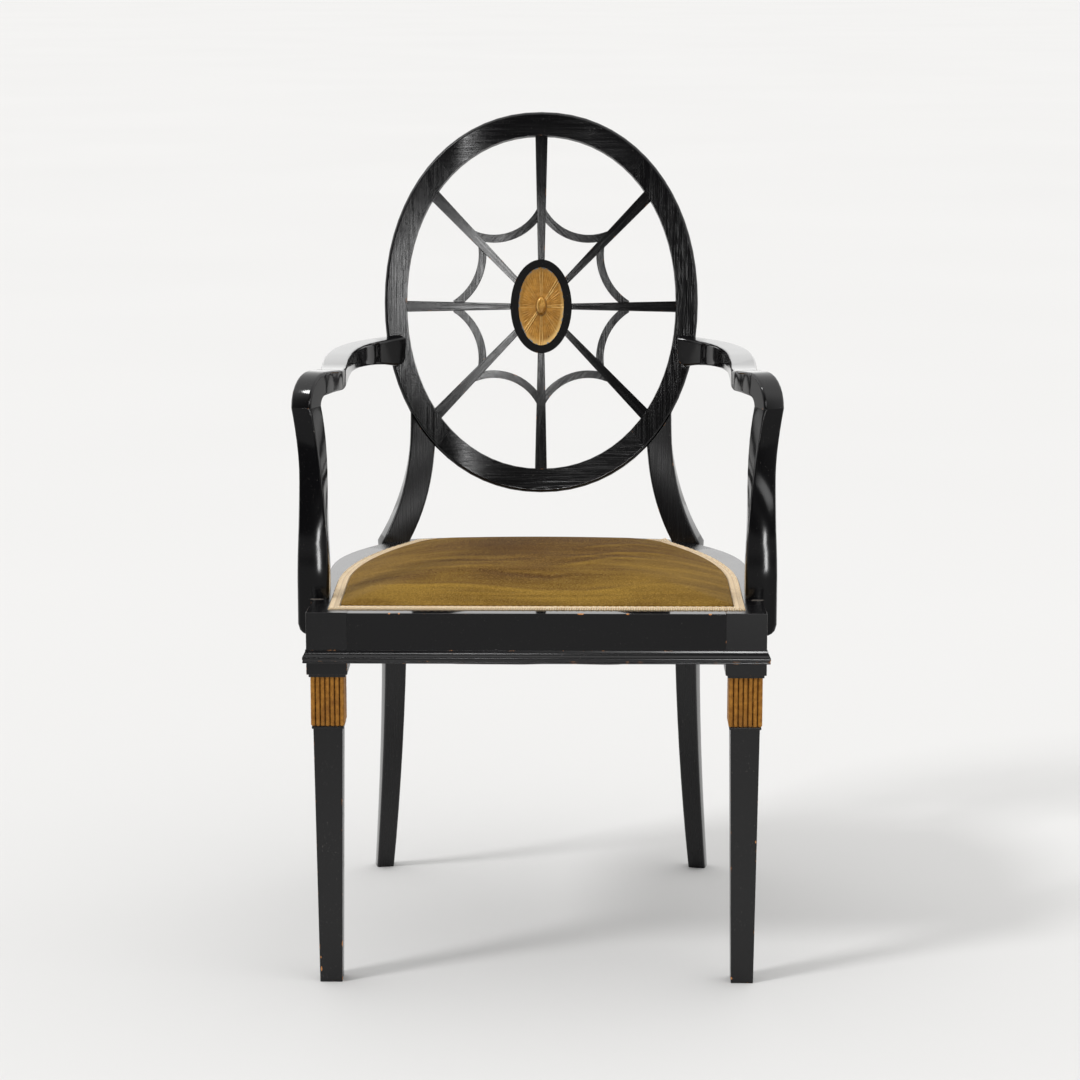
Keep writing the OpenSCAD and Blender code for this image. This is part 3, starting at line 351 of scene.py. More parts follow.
def black_lacquer(name, lie, satin=0.2, brushing=0.0, wear=0.5, sawn=0.0, bites_and_seam_highlight=(), bare_or_highlight=CHIP, shine=0.40,
                  crowned=False, dished=False, sides=0.0):
    """Black lacquer brushed along the wood, rubbed dull in streaks and chipped to the wood on its arrises, with spots
    in another colour where asked: bites to the wood, or a painted highlight.
    """
    f = Finish(name)
    strokes = f.cloud(f.laid((0.120, 0.030, 0.0014), lie), detail=2.0, rough=0.6)
    fine = f.cloud(f.laid((0.035, 0.012, 0.0005), lie), detail=1.0)
    patches = f.cloud(f.laid((0.09, 0.03, 0.03), lie), detail=2.0)
    nicks = f.cloud(f.laid((0.0022, 0.0012, 0.0012), lie), detail=1.0).rise(0.79 - 0.03 * wear, 0.83)
    specks = f.cloud(f.place, scale=900.0, detail=0.0).rise(0.80, 0.84)
    arris = f.edges(ARRIS_REACH)
    chips_and_seam_highlight = (arris.rise(0.02, 0.10) * f.cloud(f.place, scale=105.0, detail=2.0).rise(0.68 - 0.05 * wear, 0.72)).held()
    rubbed = (arris.rise(0.01, 0.08) * f.cloud(f.place, scale=38.0, detail=3.0).rise(0.45, 0.75) * 0.6).held()
    tone = f.tint((patches * 0.5 + strokes * 0.4 * brushing).held(), BLACK, WARM_BLACK)
    tone = f.tint(rubbed, tone, RUBBED)
    tone = f.tint((nicks * 0.35 + specks * 0.25).held(), tone, DUST)
    for spot, reach in bites_and_seam_highlight:
        there = tuple(place / size for place, size in zip(spot, reach))
        gap = f.add("ShaderNodeVectorMath", {"operation": "DISTANCE"}, {0: f.laid(reach), 1: there}, output="Value")
        chips_and_seam_highlight = (chips_and_seam_highlight + (1 - (gap + 0.5 * (patches - 0.5)).rise(0.7, 1.0))).held()
    # Chips and bites to the wood, and on the arm posts a painted highlight
    tone = f.tint(chips_and_seam_highlight, tone, bare_or_highlight)
    hairs = f.cloud(f.laid((0.055, 0.020, 0.0009), lie), detail=2.0, rough=0.7)
    dull = satin + brushing * 0.09 * (strokes + hairs).rise(0.9, 1.2) + 0.05 * (patches - 0.5)
    dull = dull + 0.3 * chips_and_seam_highlight + 0.15 * rubbed
    if sawn or sides:
        across, deep, _ = f.parts(f.add("ShaderNodeNewGeometry", output="Normal"))
        dull = dull + (1 - deep.size().rise(0.75, 0.95)) * sawn - across.size().rise(0.6, 0.9) * sides
    height = strokes * brushing + fine * (0.25 * brushing) + nicks * -0.5 + chips_and_seam_highlight * -1.5
    waves = f.cloud(f.place, scale=14.0, detail=1.0)
    normal = f.relief(height, STROKE_DEPTH, f.relief(waves, WAVE_DEPTH))
    x, _, z = f.parts(f.place)
    if crowned:
        off = (x.size() - POST_X) / POST_HALF
        normal = f.relief((1 - off * off) * (1 - z.rise(*POST_FADE)), POST_CROWN, normal)
        normal = f.relief(((z - POST_SWELL_Z) / POST_SWELL_REACH).swell(), POST_SWELL, normal)
    if dished:
        up = (z - OVAL_Z) / OVAL_REACH
        dish = up * up * (0.5 + 0.5 * x.rise(*OVAL_START)) * (1 - x.rise(*OVAL_FADE))
        normal = f.relief(dish, OVAL_DISH, normal)
    return f.done(Base_Color=tone, Roughness=dull.held(), Normal=normal, Specular_IOR_Level=shine)


def old_gilding(name, lie, dark, light, carved=False, painted_highlights=False, rubbed=0.46):
    """Matte ochre gilding, brown in its hollows and rubbed pale on its high places, with painted highlights along
    marked lines where asked.
    """
    f = Finish(name)
    hollow = f.add("ShaderNodeAmbientOcclusion", {"samples": 6, "only_local": True}, {"Distance": 0.004}, output="AO")
    mottle = f.cloud(f.place, scale=160.0, detail=4.0, rough=0.65)
    broad = f.cloud(f.place, scale=26.0, detail=2.0)
    streak = f.cloud(f.laid((0.03, 0.0007, 0.0007), lie), detail=3.0)
    arris = f.edges(0.0012).rise(0.02, 0.2)
    gold = f.tint(mottle.rise(0.3, 0.7), dark, light)
    gold = f.tint((broad.rise(0.45, 0.7) * 0.5).held(), gold, paint(128, 82, 32))
    gold = f.tint((streak.rise(0.58, 0.8) * 0.5).held(), gold, paint(112, 70, 28))
    gold = f.tint(((1 - hollow).rise(0.12, 0.62) * (0.22 if carved else 0.92)).held(), gold, paint(52, 30, 14))
    gold = f.tint((arris * mottle.rise(0.5, 0.62) * 0.7).held(), gold, paint(206, 160, 92))
    loss = f.cloud(f.place, scale=300.0, detail=2.0).rise(0.70, 0.74)
    if painted_highlights:
        # Painted highlight where the mesh's line mark says
        gold = f.tint((f.marked("line") * 0.9).held(), gold, paint(255, 220, 142))
    if carved:
        out = f.marked("out")
        gold = f.tint(((1 - (out - 0.235).size().rise(0.0, 0.045)) * 0.55).held(), gold, paint(70, 40, 14))
        gold = f.tint((out.rise(0.86, 0.97) * 0.5).held(), gold, paint(226, 178, 104))
        frayed = (out + 0.05 * (f.cloud(f.place, scale=420.0, detail=3.0) - 0.5)).rise(0.965, 0.985)
        flaked = f.cloud(f.place, scale=190.0, detail=1.0).rise(0.50, 0.58)
        gold = f.tint((frayed * flaked).held(), gold, paint(134, 146, 156))
    gold = f.tint((loss * 0.8).held(), gold, paint(60, 34, 16))
    rough = rubbed + 0.25 * (mottle - 0.5) + 0.15 * (1 - hollow)
    height = mottle * 0.6 + streak * 0.5 - loss * 1.5
    return f.done(Base_Color=gold, Roughness=rough.held(), Metallic=0.22, Normal=f.relief(height, 0.00014),
                  Specular_IOR_Level=0.3)


def bare_beech(name, lie):
    """Unfinished wood that only shows from underneath."""
    f = Finish(name)
    grain = f.cloud(f.laid((0.16, 0.003, 0.003), lie), detail=4.0, warp=0.4)
    fleck = f.cloud(f.laid((0.006, 0.0007, 0.0007), lie), detail=1.0).rise(0.6, 0.75)
    tone = f.tint(grain.rise(0.3, 0.7), paint(150, 112, 74), paint(184, 146, 102))
    tone = f.tint((fleck * 0.35).held(), tone, paint(108, 74, 46))
    return f.done(Base_Color=tone, Roughness=(0.62 + 0.2 * (grain - 0.5)).held(),
                  Normal=f.relief(grain + fleck * -0.4, 0.0003))


def dull_brass(name):
    f = Finish(name)
    turning = f.cloud(f.laid((0.004, 0.0004, 0.0004)), detail=2.0)
    stain = f.cloud(f.place, scale=220.0, detail=3.0)
    tone = f.tint(stain.rise(0.4, 0.7), paint(176, 142, 84), paint(112, 84, 50))
    return f.done(Base_Color=tone, Roughness=(0.34 + 0.3 * stain * turning).held(), Metallic=1.0,
                  Normal=f.relief(turning, 0.00008))


def olive_velvet(name):
    """Cut pile: its colour turns with the nap, brushed one way and another in soft bands across the seat, and with the
    painted shadows and painted fold light that the nap mark also carries.
    """
    f = Finish(name)
    bands = f.cloud(f.laid((0.11, 0.012, 0.05)), detail=2.0, warp=0.4)
    nap = f.cloud(f.laid((0.0035, 0.0016, 0.003)), detail=2.0)
    pile = f.cloud(f.place, scale=760.0, detail=2.0, rough=0.7)
    lint = f.cloud(f.place, scale=1150.0, detail=0.0).rise(0.79, 0.83)
    # The nap mark brings painted shadow of the left arm and its post, and painted light and shade on the folds
    turn = (f.marked("nap") + 0.45 * (bands - 0.5)).rise(0.08, 1.0)
    tone = f.tint(turn, paint(70, 38, 3), paint(154, 120, 46))
    tone = f.tint((nap.rise(0.40, 0.75) * 0.25).held(), tone, paint(88, 62, 24))
    tone = f.tint((pile.rise(0.50, 0.66) * 0.50).held(), tone, paint(184, 150, 76))
    tone = f.tint(((1 - pile.rise(0.34, 0.50)) * 0.50).held(), tone, paint(60, 36, 6))
    tone = f.tint((lint * 0.35).held(), tone, paint(214, 200, 150))
    normal = f.relief(pile * 0.5 + nap, 0.0005)
    return f.done(Base_Color=tone, Roughness=(0.82 + 0.14 * (nap - 0.5)).held(), Normal=normal,
                  Sheen_Weight=0.03, Sheen_Roughness=0.35, Sheen_Tint=(0.62, 0.46, 0.16), Specular_IOR_Level=0.1)


def beige_gimp(name):
    """Flat braid: slanting stitches that meet in the middle between two corded edges. U runs along, V across."""
    f = Finish(name)
    along, across, _ = f.parts(f.add("ShaderNodeUVMap", {"uv_map": "UVMap"}))
    off = (across - 0.5).size()
    stitch = ((along * 1.0 + off * 5.0) * (2 * pi)).sine() * 0.5 + 0.5
    cord = ((along * 1.25 - across * 4.0) * (2 * pi)).sine() * 0.5 + 0.5
    edge = off.rise(0.34, 0.38)
    weave = stitch * (1 - edge) + cord * edge
    fibre = f.cloud(f.place, scale=1900.0, detail=2.0)
    soil = f.cloud(f.place, scale=42.0, detail=3.0)
    centre = (1 - off.rise(0.02, 0.07)) * ((along * (2 * pi)).sine() * 0.5 + 0.5).rise(0.5, 0.8)
    tone = f.tint(weave.rise(0.1, 0.8), paint(226, 184, 132), paint(255, 238, 204))
    tone = f.tint((fibre.rise(0.4, 0.8) * 0.4).held(), tone, paint(252, 236, 204))
    tone = f.tint((soil.rise(0.5, 0.8) * 0.3).held(), tone, paint(190, 150, 100))
    tone = f.tint((centre * 0.6).held(), tone, paint(126, 90, 54))
    return f.done(Base_Color=tone, Roughness=(0.78 + 0.2 * (fibre - 0.5)).held(),
                  Normal=f.relief(weave + fibre * 0.3, 0.0007), Sheen_Weight=0.2, Sheen_Roughness=0.5,
                  Specular_IOR_Level=0.25)


def plain_weave(name, dark, light, pitch, depth=WEAVE_DEPTH):
    """Crossed yarns with slubs, for canvas, hessian and webbing."""
    f = Finish(name)
    x, y, _ = f.parts(f.place)
    warp = ((x / pitch) * pi).sine().size()
    weft = ((y / pitch) * pi).sine().size()
    over = ((x / pitch * 0.5 * pi).sine() * (y / pitch * 0.5 * pi).sine()).rise(-0.1, 0.1)
    yarn = warp * over + weft * (1 - over)
    slub = f.cloud(f.laid((0.02, 0.0012, 0.01)), detail=2.0)
    soil = f.cloud(f.place, scale=24.0, detail=3.0)
    tone = f.tint(yarn.rise(0.1, 0.9), dark, light)
    tone = f.tint((slub.rise(0.55, 0.75) * 0.5).held(), tone, light)
    tone = f.tint((soil.rise(0.4, 0.8) * 0.45).held(), tone, dark)
    return f.done(Base_Color=tone, Roughness=(0.85 + 0.1 * (slub - 0.5)).held(),
                  Normal=f.relief(yarn + slub * 0.3, depth), Specular_IOR_Level=0.2)


SLANT = radians(46)
SAWN_RING = {"satin": 0.085, "brushing": 1.0, "sawn": 0.35}
ring_level = black_lacquer("ring_lacquer_level", LEVEL, satin=0.10, brushing=1.0, sawn=0.35, dished=True)
ring_upright = black_lacquer("ring_lacquer_upright", UPRIGHT, **SAWN_RING)
spoke_level = black_lacquer("spoke_lacquer_level", LEVEL, **SAWN_RING)
web_rising = black_lacquer("web_lacquer_rising", (0, -SLANT, 0), satin=0.085, brushing=1.0, wear=0.6, sawn=0.45)
web_falling = black_lacquer("web_lacquer_falling", (0, SLANT, 0), satin=0.085, brushing=0.5, wear=0.6, sawn=0.45)
post_lacquer = black_lacquer("rear_post_lacquer", UPRIGHT, satin=0.26, brushing=0.6, sides=0.20)
leg_lacquer = black_lacquer("front_leg_lacquer", UPRIGHT, satin=0.25, brushing=0.08, wear=1.0, bites_and_seam_highlight=LEG_BITES)
moulding_lacquer = black_lacquer("moulding_lacquer", LEVEL, satin=0.16, brushing=0.1, wear=1.2, shine=0.5)
rail_lacquer = black_lacquer("rail_lacquer", LEVEL, satin=0.18, brushing=0.2, wear=0.9)
bitten_rail_lacquer = black_lacquer("front_rail_lacquer", LEVEL, satin=0.05, brushing=0.1, wear=0.9,
                                    bites_and_seam_highlight=RAIL_BITES)
side_lacquer = black_lacquer("side_rail_lacquer", DEEP, satin=0.17, brushing=0.2, wear=0.6)
arm_lacquer = black_lacquer("arm_lacquer", DEEP, satin=0.10, brushing=0.03, wear=0.35)
# Its spots are a painted highlight along the seam at each post's foot
arm_post_lacquer = black_lacquer("arm_post_lacquer", UPRIGHT, satin=0.12, brushing=0.03, wear=0.35,
                                 bites_and_seam_highlight=POST_SEAM_HIGHLIGHTS, bare_or_highlight=PAINTED_SEAM_HIGHLIGHT, shine=0.27, crowned=True)
hub_lacquer = black_lacquer("hub_lacquer", UPRIGHT, satin=0.30, brushing=0.3, shine=0.10)
reed_gilding = old_gilding("reed_gilding", UPRIGHT, paint(146, 94, 26), paint(188, 130, 48))
patera_gilding = old_gilding("patera_gilding", LEVEL, paint(178, 122, 42), paint(212, 154, 66), carved=True,
                             painted_highlights=True)
button_gilding = old_gilding("button_gilding", LEVEL, paint(182, 126, 46), paint(216, 164, 80), painted_highlights=True,
                             rubbed=0.26)
beech_level = bare_beech("bare_beech_level", LEVEL)
beech_upright = bare_beech("bare_beech_upright", UPRIGHT)
brass = dull_brass("screw_brass")
velvet = olive_velvet("olive_velvet")
braid = beige_gimp("beige_gimp")
canvas = plain_weave("black_canvas", (0.008, 0.008, 0.008), (0.030, 0.029, 0.028), 0.0011)
hessian_cloth = plain_weave("hessian_cloth", paint(110, 84, 50), paint(186, 154, 104), 0.0019, 0.0009)
webbing_cloth = plain_weave("webbing_cloth", paint(124, 96, 60), paint(200, 172, 124), 0.0014, 0.0007)

# ------------------------ the frame's wood
BORDER_WEAR, BORDER_REACH = 0.0006, 0.002


def worn_border(piece):
    """The rail's uncovered top border, worn down a little towards the front."""
    front = min(vertex.co.y for vertex in piece.data.vertices)
    for vertex in piece.data.vertices:
        if vertex.co.z > SEAT_H - 0.0001 and vertex.co.y < front + BORDER_REACH:
            vertex.co.z -= BORDER_WEAR


RESHAPED = {"front_rail": worn_border}
# Lacquered solids: their finish, how far their arrises are eased, and their names
EASED = (
    (bitten_rail_lacquer, 0.0005, "front_rail"),
    (rail_lacquer, 0.0005, "back_rail"),
    (side_lacquer, 0.0005, "left_side_rail right_side_rail"),
    (moulding_lacquer, 0.0003, "front_moulding left_moulding right_moulding"),
    (leg_lacquer, 0.0006, "front_left_leg front_right_leg"),
    (post_lacquer, 0.0006, "rear_left_leg rear_right_leg"),
    (ring_level, 0.0004, "oval_top oval_bottom"),
    (ring_upright, 0.0004, "oval_left oval_right"),
    (spoke_level, 0.0005, "spoke_right spoke_left"),
    (ring_upright, 0.0005, "spoke_top spoke_bottom"),
    (web_rising, 0.0005, "spoke_upper_right spoke_lower_left"),
    (web_falling, 0.0005, "spoke_upper_left spoke_lower_right"),
    (web_falling, 0.0004, "web_top_right web_bottom_left"),
    (web_rising, 0.0004, "web_top_left web_bottom_right"),
    (ring_upright, 0.0004, "web_right_upper web_right_lower web_left_upper web_left_lower"),
    (hub_lacquer, 0.0005, "hub"),
    (arm_lacquer, 0.0008, "left_arm right_arm"),
    (arm_post_lacquer, 0.0006, "left_arm_post right_arm_post"),
)
UNSEEN = (
    (beech_upright, "front_left_block front_right_block rear_left_block rear_right_block arm_dowels post_dowels"),
    (brass, "corner_block_screws arm_screws arm_post_screws"),
    (ring_upright, "arm_screw_plugs"),
    (beech_level, "oval_dowels"),
)
for finish, arris, names in EASED:
    for node in names.split():
        wood = softened(node, arris, reshape=RESHAPED.get(node))
        fit_to_chair(wood, node + "_lacquered", finish, [node])
for node in ("left_reeding", "right_reeding"):
    fit_to_chair(softened(node, 0.0, 40), node + "_gilt", reed_gilding, [node])
for finish, names in UNSEEN:
    for node in names.split():
        nodes[node].data.materials.clear()
        nodes[node].data.materials.append(finish)

# ------------------------ carved patera in the hub
HUB_UP = 0.2945
PATERA_HALF_W, PATERA_HALF_H, PATERA_DISH, PATERA_DEPTH = 0.02835, 0.0488, 0.0048, 0.0068
BUTTON_HALF_W, BUTTON_HALF_H, BUTTON_UP, BUTTON_DEPTH = 0.006, 0.0115, 0.001, 0.002
BUTTON_FOOT, BUTTON_RISE, BUTTON_FACET = 0.0041, 0.0037, 0.0003
# The turn of each ray, how far its two ridges stand up, and how bright a painted highlight they get
RAYS = (0, 57, 90, 123, 180, 237, 270, 303)
RIDGE_LIFT = (0.0008, 0.0013, 0.0009, 0.0002, 0.0005, 0.0013, 0.0012, 0.0007)
PAINTED_RIDGE_HIGHLIGHT = (0.55, 1.0, 0.55, 0.15, 0.25, 1.0, 0.70, 0.35)
# The last number is the turn round the rim where a painted highlight is brightest
RIDGE_HALF, LEAF_LIFT, VEIN_LIFT, VEINS, PAINTED_RIM_HIGHLIGHT_TURN = 0.00052, 0.00085, 0.00030, 8, 318
DISC_TURN = 60


def in_back(across, up, deep):
    """A point of the raked back, from its place across and up the plane and its depth behind the oval's face."""
    return Vector((across, BACK_Y + up * sin(RAKE) + deep * cos(RAKE), SEAT_H + up * cos(RAKE) - deep * sin(RAKE)))


def oval_disc(count, rings, name):
    """A disc of rings round one middle, lying flat at unit size, to be set out on an oval."""
    piece = ring_of(count, name)
    for vertex in piece.data.vertices:
        vertex.co = vertex.co.normalized()
    edit(piece, "EDGE")
    for i in range(rings, 1, -1):
        bpy.ops.mesh.extrude_edges_move()
        bpy.ops.transform.resize(value=((i - 1) / i, (i - 1) / i, 1), center_override=(0, 0, 0))
    close_middle()
    leave()
    return piece


def facing_out(piece):
    """Turns the faces of a disc in the back towards the sitter."""
    face_one_way(piece)
    if sum(face.normal.y for face in piece.data.polygons) > 0:
        piece.data.flip_normals()


def backed(piece, depth):
    """Gives a carved disc its side and its flat back."""
    edit(piece, "EDGE", "DESELECT")
    bpy.ops.mesh.select_non_manifold()
    bpy.ops.mesh.extrude_edges_move()
    bpy.ops.transform.translate(value=in_back(0, 0, depth) - in_back(0, 0, 0))
    bpy.ops.mesh.edge_face_add()
    leave()
    smooth(piece, DISC_TURN)


def carving(u, v, out):
    """Height of the carved face: double ridges along eight rays, leaves between them, and fine veins on each leaf; and
    with it a painted highlight on the ridges, the veins' crests and the lower right of the rim.
    """
    turn = degrees(atan2(v, u)) % 360
    lift = line = 0.0
    for i, ray_turn in enumerate(RAYS):
        along = u * cos(radians(ray_turn)) + v * sin(radians(ray_turn))
        off = abs(v * cos(radians(ray_turn)) - u * sin(radians(ray_turn)))
        if along > 0:
            apart = 0.0006 + 0.0009 * out
            ridge = exp(-((off - apart) / RIDGE_HALF) ** 2) * min(1, out * 3)
            lift += 0.75 * RIDGE_LIFT[i] * ridge
            # Painted highlight along the ridges
            line += PAINTED_RIDGE_HIGHLIGHT[i] * ridge
        after = RAYS[(i + 1) % len(RAYS)] + (360 if i == len(RAYS) - 1 else 0)
        if ray_turn <= turn < after:
            t = (turn - ray_turn) / (after - ray_turn)
            lift += LEAF_LIFT * sin(pi * t) ** 0.8 * min(1, out * 2)
            bend = t + 0.05 * (0.5 - t) * (out * 1.6) ** 2
            fade = within((out - 0.22) * 5) * within((0.93 - out) * 9)
            reach = max(0.0, 0.45 + 0.9 * noise.noise(Vector((round(bend * VEINS) * 3.7 + i * 9.1, out * 6, 0))))
            vein = cos(2 * pi * VEINS * bend) * fade * reach * 1.6
            lift += VEIN_LIFT * vein
            # Painted highlight on the veins' crests
            line += 0.22 * max(0.0, vein)
    # Painted highlight on the rim's lower right
    line += 0.75 * within((out - 0.84) * 9) * max(0.0, cos(radians(turn - PAINTED_RIM_HIGHLIGHT_TURN)))
    return lift, line


def carved_patera():
    """The oval patera with its worn rim."""
    piece = oval_disc(360, 46, "patera_carved")
    shares, highlights = [], []
    for vertex in piece.data.vertices:
        out = min(1.0, hypot(vertex.co.x, vertex.co.y))
        u, v = PATERA_HALF_W * vertex.co.x, PATERA_HALF_H * vertex.co.y
        dish = PATERA_DISH - 0.0026 * out ** 7
        chatter = 0.00012 * noise.noise(Vector((u / 0.004, v / 0.004, 1.0)))
        worn = 0.0004 * max(0.0, noise.noise(Vector((u / 0.007, v / 0.007, 5.0)))) * (out > 0.94)
        lift, line = carving(u, v, out)
        shares.append(out)
        highlights.append(line)
        vertex.co = in_back(u, HUB_UP + v, dish - lift + chatter + worn)
    facing_out(piece)
    mark(piece, "out", shares)
    # The line mark is painted highlight
    mark(piece, "line", highlights)
    backed(piece, PATERA_DEPTH)
    fit_to_chair(piece, "patera_carved", patera_gilding, ["patera"])


def oval_button():
    """The domed oval button at the middle of the rays, a little facetted down its length, with a painted highlight on
    its left edge.
    """
    piece = oval_disc(72, 12, "patera_button_carved")
    highlights = []
    for vertex in piece.data.vertices:
        out = min(1.0, hypot(vertex.co.x, vertex.co.y))
        u, v = BUTTON_HALF_W * vertex.co.x, BUTTON_HALF_H * vertex.co.y
        facet = BUTTON_FACET * exp(-((u - 0.0008) / 0.0009) ** 2) * (1 - out)
        dome = BUTTON_RISE * (1 - out ** 3.6) ** 0.6 - facet
        # Painted highlight: a pale crescent at the button's left edge
        highlights.append(max(0.0, -vertex.co.x) ** 2 * max(0.0, 1 - abs(out - 0.80) / 0.22) * 1.2)
        vertex.co = in_back(u, HUB_UP + BUTTON_UP + v, BUTTON_FOOT - dome)
    mark(piece, "line", highlights)
    facing_out(piece)
    backed(piece, BUTTON_DEPTH)
    fit_to_chair(piece, "patera_button_carved", button_gilding, ["patera_button"])


# ------------------------ upholstery
PAD_EDGE = right_edge(PAD_SHAPE, 0, 0)
PAD_DEPTH = PAD_EDGE[-1].y - PAD_EDGE[0].y
PAD_MIDDLE = Vector((0, PAD_EDGE[0].y + PAD_DEPTH / 2))
DOME_IN = GIMP_W + 0.0003
EDGE_RISE = 0.0052
CUSHION_POINTS, CUSHION_RINGS, CLOTH_POINTS = 168, 16, 120
# The cushion is built a little low, so that the pressure can fill it
FILL_UP, MOST_MOVE, FILL_STEPS = 0.0025, 0.005, 20
# The folds start to show this far above the flange, and are full after the next height
FOLD_FOOT, FOLD_FULL = 0.004, 0.016
# Each fold: its width, its rise, its tone, and its line across the seat. The tone is painted light and shade: a
# lighter stripe in front of the fold's line and a darker one behind it, the other way round for the sunk folds
FOLDS = [
    (0.0075, 0.0010, 0.16, [(-0.209, -0.214), (-0.194, -0.173), (-0.168, -0.183), (-0.137, -0.189), (-0.101, -0.185),
                            (-0.050, -0.193), (0.001, -0.204), (0.058, -0.205), (0.114, -0.190), (0.155, -0.177)]),
    (0.0045, 0.0005, 0.12, [(-0.121, -0.206), (-0.039, -0.211), (0.075, -0.210)]),
    (0.0040, 0.0004, 0.10, [(-0.064, -0.218), (0.012, -0.220), (0.113, -0.217)]),
    (0.0100, 0.0008, 0.18, [(0.045, -0.006), (0.091, 0.030), (0.118, 0.050), (0.160, 0.060)]),
    (0.0100, 0.0010, 0.18, [(0.020, -0.075), (0.053, -0.060), (0.098, -0.024), (0.176, 0.001)]),
    (0.0110, 0.0008, 0.14, [(0.010, -0.110), (0.042, -0.102), (0.063, -0.086), (0.090, -0.061), (0.150, -0.050)]),
    (0.0120, -0.0008, -0.14, [(-0.075, -0.128), (-0.046, -0.136), (0.011, -0.156), (0.040, -0.150)]),
    (0.0140, -0.0006, -0.14, [(-0.140, -0.060), (-0.060, -0.075), (0.010, -0.060)]),
    (0.0120, 0.0006, 0.08, [(-0.170, -0.100), (-0.100, -0.115), (-0.030, -0.100)]),
]
# Painted shadow of the left arm post, a dark line across the velvet: its width, its tone and its line
PAINTED_ARM_POST_SHADOW = (0.018, -0.26, [(-0.228, -0.152), (-0.205, -0.139), (-0.185, -0.141), (-0.155, -0.152), (-0.110, -0.157)])
# Each patch: its middle, its reach both ways and its tone. The lighter patches are brushed pile; the two dark ones, in
# the middle and towards the back, are painted shadow of the left arm
PILE_AND_SHADOW_PATCHES = [(-0.150, -0.205, 0.110, 0.030, 0.20), (0.120, -0.130, 0.100, 0.080, 0.14),
               (0.0, -0.207, 0.20, 0.020, 0.10), (-0.005, -0.145, 0.080, 0.040, -0.22),
               (0.0, 0.03, 0.15, 0.13, -0.34), (-0.17, -0.02, 0.06, 0.08, 0.08)]
GIMP_STEP, GIMP_ROWS, GIMP_START_X = 0.0022, 12, 0.158
GIMP_LIFT, GIMP_THICK, GIMP_FRAY, GIMP_CURL = 0.0014, 0.0016, 0.012, 0.0030
STITCH, CORD_TWIST = 0.0034, 0.0030
WEB_W, WEB_IN, WEB_THICK, WEB_SPAN, WEB_OVER = 0.050, 0.008, 0.0011, 0.473, 0.0012


def ring_of(count, name):
    """A flat ring of edges with so many points, still to be laid on its line."""
    bpy.ops.object.select_all(action="DESELECT")
    bpy.ops.mesh.primitive_circle_add(vertices=count, radius=0.2, fill_type="NOTHING", location=(0, 0, 0))
    piece = bpy.context.active_object
    piece.name = name
    return piece


def grid_of(along, across):
    """A flat grid one metre square, to be laid out as a strip."""
    bpy.ops.object.select_all(action="DESELECT")
    bpy.ops.mesh.primitive_grid_add(x_subdivisions=along, y_subdivisions=across, size=1, calc_uvs=True)
    return bpy.context.active_object


def evenly(points, count):
    """A closed line of points, set out again at even steps."""
    line = points + [points[0]]
    steps = [(b - a).length for a, b in zip(line, line[1:])]
    total, found, i, passed = sum(steps), [], 0, 0.0
    for k in range(count):
        goal = total * k / count
        while passed + steps[i] < goal:
            passed += steps[i]
            i += 1
        found.append(line[i].lerp(line[i + 1], (goal - passed) / steps[i]))
    return found


def lay_on(piece, points, z):
    for vertex, point in zip(piece.data.vertices, points):
        vertex.co = (point.x, point.y, z)


def draw_in(share, lift):
    """Draws the picked edges out into a further ring, nearer the middle of the seat by a share and higher."""
    bpy.ops.mesh.extrude_edges_move()
    bpy.ops.transform.resize(value=(share, share, 1), center_override=(PAD_MIDDLE.x, PAD_MIDDLE.y, 0))
    bpy.ops.transform.translate(value=(0, 0, lift))


def close_middle():
    bpy.ops.mesh.edge_face_add()
    bpy.ops.mesh.poke()


def crown_at(share, top):
    """Height of the cushion at a share of the way out from its middle: full at the sides and flat on top."""
    return FLANGE_Z + EDGE_RISE + (top - FLANGE_Z - EDGE_RISE) * (1 - share ** 3.2)


def fold_at(x, y, width, line):
    """How near a point lies to a fold's line, from nought to one, fading at the fold's two ends."""
    reach, ys = 2.5 * width, [b for _, b in line]
    if not (line[0][0] - reach < x < line[-1][0] + reach and min(ys) - reach < y < max(ys) + reach):
        return 0.0
    length = sum(hypot(c - a, d - b) for (a, b), (c, d) in zip(line, line[1:]))
    near = run = 0.0
    for (ax, ay), (bx, by) in zip(line, line[1:]):
        step = hypot(bx - ax, by - ay)
        t = within(((x - ax) * (bx - ax) + (y - ay) * (by - ay)) / step ** 2)
        gap = hypot(x - ax - t * (bx - ax), y - ay - t * (by - ay))
        passed = (run + t * step) / length
        near = max(near, exp(-(gap / width) ** 2) * min(1.0, 5 * passed, 5 * (1 - passed)))
        run += step
    return near


def pile_and_painted_light_at(x, y):
    """How light the velvet is coloured at a place: patches of pile rubbed one way and another, painted light and shade
    along each fold, and the painted shadows of the left arm and its post.
    """
    # Patches of brushed pile, and the left arm's painted shadow as two dark patches
    nap = 0.5 + sum(tone * exp(-((x - cx) / rx) ** 2 - ((y - cy) / ry) ** 2) for cx, cy, rx, ry, tone in PILE_AND_SHADOW_PATCHES)
    # Painted light and shade on each fold: lighter on its front side, darker behind it
    nap += sum(tone * (1.5 * fold_at(x, y + 0.3 * width, 0.55 * width, line)
                       - fold_at(x, y - 0.8 * width, 0.7 * width, line)) for width, _, tone, line in FOLDS)
    # The painted shadow of the left arm post, laid into the velvet's tone
    width, tone, line = PAINTED_ARM_POST_SHADOW
    nap += tone * fold_at(x, y, width, line)
    broad = noise.noise(Vector((x / 0.09, y / 0.020, 3.3)))
    fine = noise.noise(Vector((x / 0.035, y / 0.012, 6.1)))
    return nap + (0.16 * broad + 0.08 * fine)


